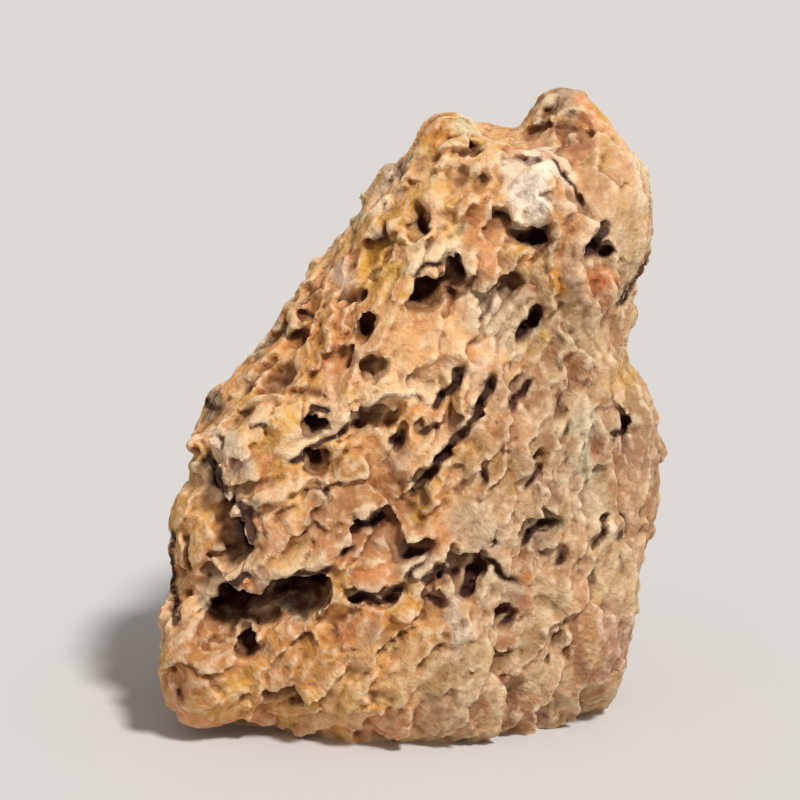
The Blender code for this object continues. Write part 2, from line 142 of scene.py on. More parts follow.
def level_ring(bm, height, left, right, front, back, fullest):
    """One level's outline: four quarter curves that meet at its left, right, front and back."""
    ring = bmesh.ops.create_circle(bm, segments=RING_POINTS, radius=1)["verts"]
    middle = (front + back) / 2
    for vert in ring:
        across, deep = vert.co.x, vert.co.y
        reach = right - fullest if across > 0 else fullest - left
        thick = back - middle if deep > 0 else middle - front
        vert.co = (
            fullest + math.copysign(abs(across) ** SQUARENESS, across) * reach,
            middle + math.copysign(abs(deep) ** SQUARENESS, deep) * thick,
            height,
        )
        vert.co *= MM
    return list({edge for vert in ring for edge in vert.link_edges})


def wander(points, length):
    """An aimless smooth drift at each point, as waves of about that length from every side."""
    rng = np.random.default_rng(SEED)
    ways = rng.normal(size=(24, 3))  # 24 waves hide any pattern
    ways *= math.tau / length / np.linalg.norm(ways, axis=1)[:, None]
    phases = rng.uniform(0, math.tau, len(ways))
    drifts = rng.normal(size=(len(ways), 3)) / math.sqrt(len(ways))
    return np.sin(points @ ways.T + phases) @ drifts


bm = bmesh.new()
rings = [level_ring(bm, *level) for level in LEVELS]
for lower, upper in zip(rings, rings[1:]):
    bmesh.ops.bridge_loops(bm, edges=lower + upper)
bmesh.ops.holes_fill(bm, edges=rings[0] + rings[-1])
for _, across, deep, height, *half in KNOBS:
    place = Matrix.Translation(Vector((across, deep, height)) * MM)
    size = Matrix.Diagonal((*(Vector(half) * MM), 1))
    bmesh.ops.create_icosphere(bm, subdivisions=4, radius=1, matrix=place @ size)
bmesh.ops.recalc_face_normals(bm, faces=bm.faces)
stone = bpy.data.objects.new("weathered_stone", bpy.data.meshes.new("weathered_stone"))
bpy.context.scene.collection.objects.link(stone)
bm.to_mesh(stone.data)
bm.free()
reskin(stone, FIRST_VOXEL, FIRST_SMOOTHING)
points = points_of(stone.data)
set_points(stone.data, points + DRIFT * wander(points, DRIFT_LENGTH))


# The bedding ledges
# The clay was laid down in beds of unequal hardness. The hard ones stand out as ledges that overhang what has
# washed out below them. Each is placed by where it is seen from one side, along a sight tilted a little down.
SIGHT_TILT = math.radians(15)
SIGHT_DISTANCE = 1300 * MM
SIGHT_HEIGHT = 132 * MM
FACING_GAIN = 3  # a face counts as seen in full once it is turned this steeply to the sight
DROOP = 0.35  # how far a ledge hangs down for each millimetre that it stands out
CRESTS = (
    # side seen from, height, fade right of the line and left of it, and the line's points across and up
    ("lip of the upper lobe", 0, 9, 26, 2.5, (-56, -62), (-60, -52), (-65, -43), (-72, -34), (-78, -20),
     (-81, -8)),
    ("middle ledge", 0, 7, 26, 2.5, (34, 22), (26, 14), (16, 5), (8, 3), (-3, 4), (-14, -1), (-22, -7),
     (-29, -7), (-38, -2), (-44, -8), (-50, -19)),
    ("ledge over the cave", 0, 9, 22, 2.5, (-5, -47), (-16, -50), (-24, -58), (-32, -65), (-40, -69),
     (-52, -71), (-60, -79), (-68, -73), (-79, -73), (-89, -67), (-97, -61)),
    ("ledge right of the cave", 0, 5, 14, 2.5, (23, -61), (10, -64), (3, -71), (-7, -77), (-16, -79),
     (-26, -77)),
    ("lip of the great hole", 0, 4, 12, 3, (28, 47), (30, 60), (25, 67), (14, 61), (5, 54), (0, 51)),
    ("long crest", 0, 4, 10, 2.5, (49, 14), (42, 3), (34, -9), (23, -21), (14, -31), (2, -40)),
    ("turn of the right side", 0, 6, 3, 16, (81, -73), (87, -49), (89, -27), (82, -8), (84, 14), (89, 31)),
    ("grey rib", 0, 5, 4, 4, (27, -107), (30, -92), (24, -78), (12, -72)),
    ("rib under the head", 0, 5, 3, 8, (82, 44), (76, 58), (78, 74), (86, 84)),
    ("shoulder crest", 0, 4, 10, 4, (-12, 84), (-4, 70), (-2, 58)),
    ("back, high ledge", 180, 8, 24, 2.5, (20, 60), (4, 48), (-18, 44), (-36, 50), (-62, 44)),
    ("back, middle ledge", 180, 9, 26, 2.5, (76, -8), (58, -20), (36, -14), (14, -24), (-10, -20), (-30, -32)),
    ("back, low ledge", 180, 7, 20, 2.5, (40, -72), (18, -62), (-8, -72), (-36, -64), (-60, -76)),
    ("right side, ledge", 90, 6, 20, 2.5, (34, 20), (16, 8), (-4, 12), (-24, 2)),
    ("right side, low ledge", 90, 6, 18, 2.5, (44, -60), (20, -52), (0, -62)),
    ("left side, ledge", 270, 7, 20, 2.5, (40, -30), (20, -40), (0, -34), (-24, -44)),
)


def sight_axes(azimuth):
    """Right, up and away, as seen along the sight from that side; 0 is the front."""
    turn = Matrix.Rotation(math.radians(azimuth), 3, "Z")
    right = turn @ Vector((1, 0, 0))
    up = turn @ Vector((0, math.sin(SIGHT_TILT), math.cos(SIGHT_TILT)))
    away = turn @ Vector((0, math.cos(SIGHT_TILT), -math.sin(SIGHT_TILT)))
    return right, up, away


def sight_places(points, azimuth):
    """Across and up in the sight's middle plane, in millimetres, and the way from the eye to each point."""
    right, up, away = (np.array(axis) for axis in sight_axes(azimuth))
    offset = points - (0, 0, SIGHT_HEIGHT)
    scale = SIGHT_DISTANCE / (SIGHT_DISTANCE + offset @ away) / MM
    sights = offset + away * SIGHT_DISTANCE
    sights /= np.linalg.norm(sights, axis=1)[:, None]
    return np.column_stack((offset @ right, offset @ up)) * scale[:, None], sights


def crest_height(places, height, right_fade, left_fade, line, fullness, end_fade):
    """How far a crest stands out at each place, with a fade on either side and at both ends."""
    line = np.array(line, dtype=float)
    steps = np.linalg.norm(np.diff(line, axis=0), axis=1)
    travelled = np.concatenate(((0,), np.cumsum(steps)))
    best = np.full(len(places), np.inf)
    left = np.zeros(len(places), dtype=bool)
    along = np.zeros(len(places))
    for start, end, begun, step in zip(line, line[1:], travelled, steps):
        way = (end - start) / step
        offset = places - start
        reached = np.clip(offset @ way, 0, step)
        gap = np.linalg.norm(offset - reached[:, None] * way, axis=1)
        nearer = gap < best
        best[nearer] = gap[nearer]
        left[nearer] = (way[0] * offset[:, 1] - way[1] * offset[:, 0] > 0)[nearer]
        along[nearer] = (begun + reached)[nearer]
    fade = np.where(left, left_fade, right_fade)
    ends = np.clip(np.minimum(along, travelled[-1] - along) / end_fade, 0, 1)
    return height * np.exp(-(best / fade) ** fullness) * ends


def normals_of(mesh):
    normals = np.empty(len(mesh.vertices) * 3)
    mesh.vertex_normals.foreach_get("vector", normals)
    return normals.reshape(-1, 3)


def raise_crests(mesh, crests):
    points, normals = points_of(mesh), normals_of(mesh)
    height = np.zeros(len(points))
    for _, azimuth, high, right_fade, left_fade, *line in crests:
        places, sights = sight_places(points, azimuth)
        facing = np.clip(-(sights * normals).sum(axis=1) * FACING_GAIN, 0, 1)
        height += facing * crest_height(places, high, right_fade, left_fade, line, 1, 9)
    outward = normals + (0, 0, -DROOP)
    set_points(mesh, points + outward * (height * MM)[:, None])


# The washed-out hollows
# Water took the soft clay out and left bowls, slots and caves. Each is dug inward and up the grain, so the clay
# above it overhangs. The large ones are placed one by one, and bowls of all sizes fill the rest, along the
# grain.
FRONT_HOLLOWS = (
    # across, up, half length, half width, angle from level, depth, and how far its middle is out of the mouth
    ("cave, left", -70, -89, 14, 11, 8, 34, 0.0),
    ("cave, right", -45, -86, 16, 12, 16, 40, 0.0),
    ("cave, middle", -58, -93, 12, 7, 8, 26, 0.0),
    ("slot by the cave", -11, -84, 13, 4, 8, 12, 0.0),
    ("round hole", -64, -106, 6, 5.5, 0, 12, 0.0),
    ("small hole", -82, -75, 5, 4, 0, 9, 0.0),
    ("pocket", -70, -54, 16, 10, 100, 18, 0.05),
    ("crack over the pocket", -77, -31, 11, 4.5, 116, 9, 0.0),
    ("edge crack", -92, -72, 18, 3, 92, 7, 0.0),
    ("eye hole", -36, -11, 8, 5, 18, 12, 0.0),
    ("deep hole", -33, -27, 8.5, 7, 70, 18, 0.0),
    ("slit beside it", -44, -26, 9, 3, 34, 6, 0.0),
    ("under the ledge", -14, -10, 11, 4.5, 24, 8, 0.0),
    ("teardrop", -3, -21, 9, 3.6, 60, 7, 0.0),
    ("curl", -38, -48, 9, 8, 30, 4, 0.3),
    ("star", -13, -55, 11, 7, 15, 12, 0.05),
    ("star arm, left", -22, -62, 11, 3, 42, 5, 0.2),
    ("star arm, right", -6, -62, 8, 3, 118, 4, 0.2),
    ("ledge wedge", 18, 1, 16, 6, 46, 16, 0.0),
    ("under the wedge", 12, -15, 8, 4, 12, 10, 0.0),
    ("long groove, low", 10, -35, 9, 2.6, 42, 6, 0.1),
    ("long groove, middle", 20, -22, 11, 3, 54, 7, 0.1),
    ("long groove, high", 31, -7, 11, 2.6, 52, 6, 0.1),
    ("long groove, end", 38, 5, 10, 2.8, 68, 5, 0.1),
    ("groove two", 51, 2, 11, 3.4, 54, 6, 0.1),
    ("groove three", 57, -33, 11, 3.6, 54, 6, 0.1),
    ("groove four", 36, -36, 8, 3, 76, 4, 0.2),
    ("brown pocket", 61, -60, 12, 9, 30, 12, 0.1),
    ("slot under it", 67, -69, 7, 3.4, 32, 6, 0.0),
    ("long crack", 87, -55, 13, 2.8, 66, 6, 0.0),
    ("side hole", 94, -57, 6, 4.4, 52, 8, 0.0),
    ("side groove", 94, -11, 9, 3.2, 74, 5, 0.1),
    ("wedge hole", 31, -77, 13, 5.5, 62, 14, 0.0),
    ("upright groove", 33, -92, 13, 4, 92, 5, 0.2),
    ("cup, left", 6, -67, 12, 6, 36, 12, 0.0),
    ("cup, right", 18, -76, 10, 6, 32, 12, 0.0),
    ("cup, low", 14, -90, 9, 7, 10, 6, 0.2),
    ("dark hole", 45, -94, 5, 4.5, 40, 8, 0.0),
    ("yellow pit", -11, 63, 14, 8, 92, 8, 0.2),
    ("narrow pit", 7, 76, 10, 5, 92, 8, 0.1),
    ("great hole", 15, 44, 12, 10, 20, 30, 0.0),
    ("great hole, right", 26, 50, 12, 6, 94, 16, 0.05),
    ("black slot", -15, 30, 7, 3.6, 92, 10, 0.0),
    ("leaf pit", -22, 43, 8, 4, 44, 6, 0.1),
    ("orange bowl", -40, 38, 9, 8, 40, 6, 0.2),
    ("red bowl", -53, 8, 12, 9, 20, 5, 0.3),
    ("bowl", -69, 3, 9, 8, 40, 4, 0.3),
    ("bowl", -60, -18, 11, 8, 20, 4, 0.3),
    ("bowl", -26, 14, 9, 7, 60, 4.5, 0.3),
    ("bowl", -11, 11, 8, 6, 30, 6, 0.1),
    ("smooth dish", 9, 20, 20, 15, 40, 4.5, 0.5),
    ("bowl", 22, 92, 9, 8, 30, 4, 0.3),
    ("bowl", 38, 92, 9, 6, 10, 4, 0.3),
    ("bowl", 19, 76, 8, 7, 30, 5, 0.2),
    ("bowl under the lump", 43, 71, 9, 8, 80, 8, 0.1),
    ("undercut", 57, 69, 11, 4.6, 4, 9, 0.0),
    ("head groove, high", 69, 97, 11, 2.2, 128, 5, 0.1),
    ("head groove, low", 77, 84, 10, 2.2, 122, 5, 0.1),
    ("head slash", 84, 65, 12, 3.8, 56, 12, 0.0),
    ("red pocket", 86, 53, 12, 9, 80, 12, 0.05),
    ("under the head", 99, 50, 17, 3.6, 58, 7, 0.1),
    ("crown hollow", 74, 111, 12, 8, 96, 4, 0.4),
    ("crown notch", 32, 108, 6, 5, 60, 7, 0.1),
    ("slit", 55, 30, 10, 2.8, 60, 9, 0.0),
    ("slit", 48, 47, 6, 3, 50, 6, 0.1),
    ("streak", 66, 50, 12, 4, 92, 3.5, 0.3),
    ("orange pit", 92, 11, 9, 6, 80, 5, 0.2),
    ("shallow cup", 8, -47, 8, 7, 20, 4, 0.3),
    ("bowl", -45, -68, 12, 7, 20, 3.5, 0.4),
    ("rough hollow", -48, -108, 12, 9, 30, 5, 0.3),
    ("rough hollow", -26, -98, 12, 8, 30, 5, 0.3),
    ("gap over the ground", -52, -128, 14, 5, 4, 12, 0.0),
)
BACK_HOLLOWS = (
    ("deep hole", 6, 36, 12, 9, 20, 20, 0.0),
    ("slot", -44, 36, 14, 5, 12, 14, 0.0),
    ("hole under the ledge", 44, -26, 14, 8, 20, 22, 0.0),
    ("hole under the ledge", 0, -33, 12, 6, 10, 14, 0.0),
    ("long slot", 78, -60, 18, 5, 80, 12, 0.0),
    ("cave", -22, -80, 18, 10, 10, 24, 0.0),
    ("round pit", 52, -96, 9, 8, 0, 12, 0.1),
    ("pit", -66, -30, 10, 7, 60, 12, 0.1),
    ("pit", -70, 84, 9, 7, 40, 10, 0.1),
    ("pit", -34, 92, 10, 6, 30, 10, 0.1),
)
RIGHT_HOLLOWS = (
    ("slot under the ledge", 6, 2, 13, 5, 20, 12, 0.0),
    ("pit", 28, 58, 10, 7, 80, 12, 0.1),
    ("pit", 30, 88, 8, 6, 60, 8, 0.1),
    ("cave", 18, -68, 14, 7, 20, 16, 0.0),
    ("slot", -30, -30, 14, 4, 84, 8, 0.0),
)
LEFT_HOLLOWS = (
    ("hole under the ledge", 16, -48, 14, 8, 10, 16, 0.0),
    ("pit", -14, 0, 10, 8, 40, 10, 0.1),
    ("pit", 26, 20, 10, 7, 60, 10, 0.1),
    ("slot", 30, -96, 14, 5, 20, 12, 0.0),
)
HOLLOWS = {0: FRONT_HOLLOWS, 90: RIGHT_HOLLOWS, 180: BACK_HOLLOWS, 270: LEFT_HOLLOWS}
PLAIN_PLACES = (
    # across, up, and the radius that stays free of scattered bowls
    (90, 88, 17),
    (-82, -106, 14),
    (9, 20, 14),
    (32, -56, 13),
    (59, 88, 9),
    (104, -40, 8),
)
SCOOPS = (
    # half lengths, width to length, depth to half width, room kept round each, and tries
    (20 * MM, 34 * MM), (0.5, 0.8), (0.5, 0.8), 0.75, 1500,
)
BOWLS = ((8 * MM, 15 * MM), (0.45, 0.8), (0.4, 0.8), 1.3, 6000)
ROOM_OF_PLACED = 0.5  # the share of a placed hollow's reach that scattered ones stay out of
GRAIN_LEFT, GRAIN_WIDTH = -70, 150  # mm, where the grain starts to turn up, and over what width
GRAIN_ANGLE_LEFT, GRAIN_ANGLE_RIGHT = 22, 80
GRAIN_SWING = 0.25  # how far the grain swings to the front and back
STRAY_SPREAD, STRAY_START = 200, 400  # mm
SCATTER_LIFT = 0.3  # how far a scattered bowl's middle lies out of its mouth
SCATTER_TWIST = 16
UPRIGHT_SLIMMING = 0.45  # how much slimmer the scattered bowls are where the grain stands upright
BEHIND = 0.25  # how far a face turns away from the front to count as behind
INWARD_RISE = 0.7  # how much a hollow is dug upward for each part inward
LEAN = Vector((-0.3, 0, 1))  # the way in which a hollow eats upward
MOUTH_SQUARENESS = 2.6  # 2 would be a round bowl, and more is a fuller one
HEADROOM = 1.3  # in half axes, how far below a hollow's middle clay is still pushed
BEND, BEND_LENGTH = 1.2 * MM, 26 * MM
SECOND_VOXEL, SECOND_SMOOTHING = 1.6 * MM, 3
THIRD_VOXEL, THIRD_SMOOTHING = 0.95 * MM, 1


def tree_of(mesh):
    corners = [vert.co.copy() for vert in mesh.vertices]
    return BVHTree.FromPolygons(corners, [tuple(face.vertices) for face in mesh.polygons])


def seen_point(tree, azimuth, across, up):
    """Where the sight line through that place meets the surface, with the surface's normal there."""
    right, rise, away = sight_axes(azimuth)
    middle = Vector((0, 0, SIGHT_HEIGHT))
    eye = middle - away * SIGHT_DISTANCE
    target = middle + (right * across + rise * up) * MM
    point, normal, _, _ = tree.ray_cast(eye, (target - eye).normalized())
    return point, normal


def hollow_at(point, normal, along, half_length, half_width, depth, lift):
    """A slanted hollow of this size: its middle, its three half axes as a matrix, and its reach."""
    along = (along - normal * along.dot(normal)).normalized()
    beside = normal.cross(along)
    inward = (INWARD_RISE * (LEAN - normal * LEAN.dot(normal)) - normal).normalized()
    mouth = math.sqrt(1 - lift * lift)
    reach = depth / (1 - lift)
    axes = np.column_stack((along * half_length / mouth, beside * half_width / mouth, inward * reach))
    centre = np.array(point - inward * reach * lift)
    return centre, axes, np.abs(axes).sum(axis=1).max()


def placed_hollows(tree):
    made = []
    for azimuth, table in HOLLOWS.items():
        right, up, _ = sight_axes(azimuth)
        for _, across, rise, half_length, half_width, angle, depth, lift in table:
            point, normal = seen_point(tree, azimuth, across, rise)
            turn = math.radians(angle)
            along = right * math.cos(turn) + up * math.sin(turn)
            half_sizes = half_length * MM, half_width * MM
            made.append(hollow_at(point, normal, along, *half_sizes, depth * MM, lift))
    return made


def grain_share(point):
    """From 0 at the left edge to 1 at the right."""
    return min(max((point.x / MM - GRAIN_LEFT) / GRAIN_WIDTH, 0), 1)


def grain_at(point):
    """The grain's direction: nearly level at the left edge and upright at the right."""
    turn = math.radians(GRAIN_ANGLE_LEFT + (GRAIN_ANGLE_RIGHT - GRAIN_ANGLE_LEFT) * grain_share(point))
    return Vector((math.cos(turn), GRAIN_SWING * math.sin(3 * turn), math.sin(turn)))


def random_hit(tree, rng):
    """A point of the surface where a stray line from outside meets it, with its normal, or nothing."""
    way = Vector(rng.normal(size=3)).normalized()
    aside = Vector(rng.uniform(-1, 1, size=3)) * STRAY_SPREAD * MM
    start = Vector((0, 0, SIGHT_HEIGHT)) + aside - aside.dot(way) * way - way * STRAY_START * MM
    point, normal, _, _ = tree.ray_cast(start, way)
    return point, normal


def scatter(tree, rng, bowls, taken, behind_only=False):
    """Hollows where stray points find room for them, longer along the grain than across it."""
    lengths, slimness, depths, room, tries = bowls
    kept = np.zeros((len(taken) + tries, 4))
    count = len(taken)
    kept[:count] = np.reshape(taken, (-1, 4))
    made = []
    for _ in range(tries):
        point, normal = random_hit(tree, rng)
        half_length = rng.uniform(*lengths)
        narrow = rng.uniform(*slimness)
        depth_share = rng.uniform(*depths)
        twist = math.radians(rng.normal(0, SCATTER_TWIST))
        if point is None or (behind_only and normal.y < BEHIND):
            continue
        half_width = half_length * narrow * (1 - UPRIGHT_SLIMMING * grain_share(point))
        radius = room * math.sqrt(half_length * half_width)
        gaps = np.linalg.norm(kept[:count, :3] - point, axis=1)
        if (gaps < kept[:count, 3] + radius).any():
            continue
        along = Matrix.Rotation(twist, 3, normal) @ grain_at(point)
        depth = half_width * depth_share
        made.append(hollow_at(point, normal, along, half_length, half_width, depth, SCATTER_LIFT))
        kept[count] = (*point, radius)
        count += 1
    return made


def plain_places(tree):
    return [(*seen_point(tree, 0, across, up)[0], radius * MM) for across, up, radius in PLAIN_PLACES]


def dig(mesh, hollows, bend, bend_length):
    """Pushes each point that lies in the way of a hollow in to its floor. A wave bends every outline."""
    points = points_of(mesh)
    drift = bend * wander(points, bend_length)
    points += drift
    for _ in range(2):
        for centre, axes, reach in hollows:
            offset = points - centre
            near = np.flatnonzero((np.abs(offset) < reach * HEADROOM).all(axis=1))
            local = offset[near] @ np.linalg.inv(axes).T
            out = np.minimum(np.hypot(local[:, 0], local[:, 1]), 1)
            floor = np.sqrt(1 - out ** MOUTH_SQUARENESS)
            push = np.where(local[:, 2] > -HEADROOM, floor - local[:, 2], 0)
            push[out >= 1] = 0
            points[near] += axes[:, 2] * np.maximum(push, 0)[:, None]
    set_points(mesh, points - drift)


rng = np.random.default_rng(SEED)
scoops = scatter(tree_of(stone.data), rng, SCOOPS, [], behind_only=True)
dig(stone.data, scoops, BEND, BEND_LENGTH)
raise_crests(stone.data, CRESTS)
reskin(stone, SECOND_VOXEL, SECOND_SMOOTHING)
tree = tree_of(stone.data)
hollows = placed_hollows(tree)
taken = [(*centre, ROOM_OF_PLACED * reach) for centre, _, reach in hollows] + plain_places(tree)
dig(stone.data, hollows + scatter(tree, rng, BOWLS, taken), BEND, BEND_LENGTH)
reskin(stone, THIRD_VOXEL, THIRD_SMOOTHING)


# The scales
# The clay splits along its grain in scales like chipped shells. Each is a shallow dish, tilted so that its lower
# edge stands out over the next one and throws a thin shadow on it.
SCALES = (
    # number, half lengths, width to length, how far an edge tilts out, depth of the dish, and spread of levels
    1800, (10 * MM, 19 * MM), (0.4, 0.7), 2.3 * MM, 0.8 * MM, 0.4 * MM,
)
FLAKES = (4500, (5 * MM, 10 * MM), (0.35, 0.6), 0.6 * MM, 0.15 * MM, 0.1 * MM)
SLOTS = ((6 * MM, 13 * MM), (0.14, 0.24), (2.0, 3.5), 2.8, 2500)
DOTS = ((1.2 * MM, 2.4 * MM), (0.5, 0.9), (1.2, 2.0), 5, 1500)
SCALE_WOBBLE, SCALE_SEAM = 1.3 * MM, 3 * MM
FLAKE_WOBBLE, FLAKE_SEAM = 0.7 * MM, 0.8 * MM
WOBBLE_LENGTH = 7  # times the wobble
SCALE_TWIST = 20
SEAM_WIDTH = 0.2
PLAIN_SHARE = 0.6  # how much of the scales' height a plain place loses
SLOT_BEND, SLOT_BEND_LENGTH = 0.6 * MM, 9 * MM


def make_scales(tree, rng, scales):
    """Scales at stray places: middle, a matrix that measures along, across and out, tilt, bowl, level, tint
    and reach."""
    count, lengths, slimness, tilt, bowl, step = scales
    made = []
    for _ in range(count):
        point, normal = random_hit(tree, rng)
        half_length = rng.uniform(*lengths)
        half_width = half_length * rng.uniform(*slimness)
        twist = math.radians(rng.normal(0, SCALE_TWIST))
        strength, level, tint = rng.uniform(0.5, 1.5), rng.normal(0, step), rng.uniform()
        if point is None:
            continue
        along = Matrix.Rotation(twist, 3, normal) @ grain_at(point)
        along = (along - normal * along.dot(normal)).normalized()
        beside = normal.cross(along)
        axes = np.column_stack((along / half_length, beside / half_width, normal / half_length))
        heights = strength * tilt, strength * bowl, level
        made.append((np.array(point), axes, *heights, tint, 2 * half_length))
    return made


def nearest_scale(points, made):
    """For each point: its scale, its place in that scale's measures, its distance, and how near a seam is."""
    order = np.argsort(points[:, 0])
    across = points[order, 0]
    gaps = np.full((2, len(points)), 9.0)
    owner = np.zeros(len(points), dtype=int)
    places = np.zeros((len(points), 3))
    for number, (centre, axes, *_, reach) in enumerate(made):
        first, last = np.searchsorted(across, (centre[0] - reach, centre[0] + reach))
        near = order[first:last]
        local = (points[near] - centre) @ axes
        gap = np.sqrt((local ** 2).sum(axis=1))
        nearer = gap < gaps[0, near]
        gaps[1, near] = np.where(nearer, gaps[0, near], np.minimum(gap, gaps[1, near]))
        chosen = near[nearer]
        gaps[0, chosen] = gap[nearer]
        owner[chosen] = number
        places[chosen] = local[nearer]
    return owner, places, np.minimum(gaps[0], 1), np.exp(-((gaps[1] - gaps[0]) / SEAM_WIDTH) ** 2)


def seam_depth(places, near_seam, tints):
    """How open each scale's seam is on its sunken side, where the next scale has lifted off it."""
    return np.clip(2 * places[:, 1], 0, 1) * near_seam * np.clip(2 * tints - 0.3, 0, 1)


def cover_in_scales(mesh, made, plain, wobble, seam):
    """Gives every point the height it has in the dish of its own scale, and less of it in plain places."""
    points, normals = points_of(mesh), normals_of(mesh)
    wobbled = points + wobble * wander(points, WOBBLE_LENGTH * wobble)
    owner, places, gaps, near_seam = nearest_scale(wobbled, made)
    tilt, bowl, level, tint = np.array([scale[2:6] for scale in made])[owner].T
    height = level + bowl * gaps ** 2 - tilt * np.clip(places[:, 1], -1, 1)
    height -= height.mean()
    for place in plain:
        gap = ((points - place[:3]) ** 2).sum(axis=1) / place[3] ** 2
        height *= 1 - PLAIN_SHARE * np.exp(-gap ** 2)
    height -= seam * seam_depth(places, near_seam, tint)
    outward = normals + (0, 0, -DROOP)
    set_points(mesh, points + outward * height[:, None])


tree = tree_of(stone.data)
plain = plain_places(tree)
scales = make_scales(tree, rng, SCALES)
cover_in_scales(stone.data, scales, plain, SCALE_WOBBLE, SCALE_SEAM)
flakes = make_scales(tree_of(stone.data), rng, FLAKES)
cover_in_scales(stone.data, flakes, plain, FLAKE_WOBBLE, FLAKE_SEAM)
slots = scatter(tree, rng, SLOTS, plain)
dots = scatter(tree, rng, DOTS, [])
dig(stone.data, slots + dots, SLOT_BEND, SLOT_BEND_LENGTH)


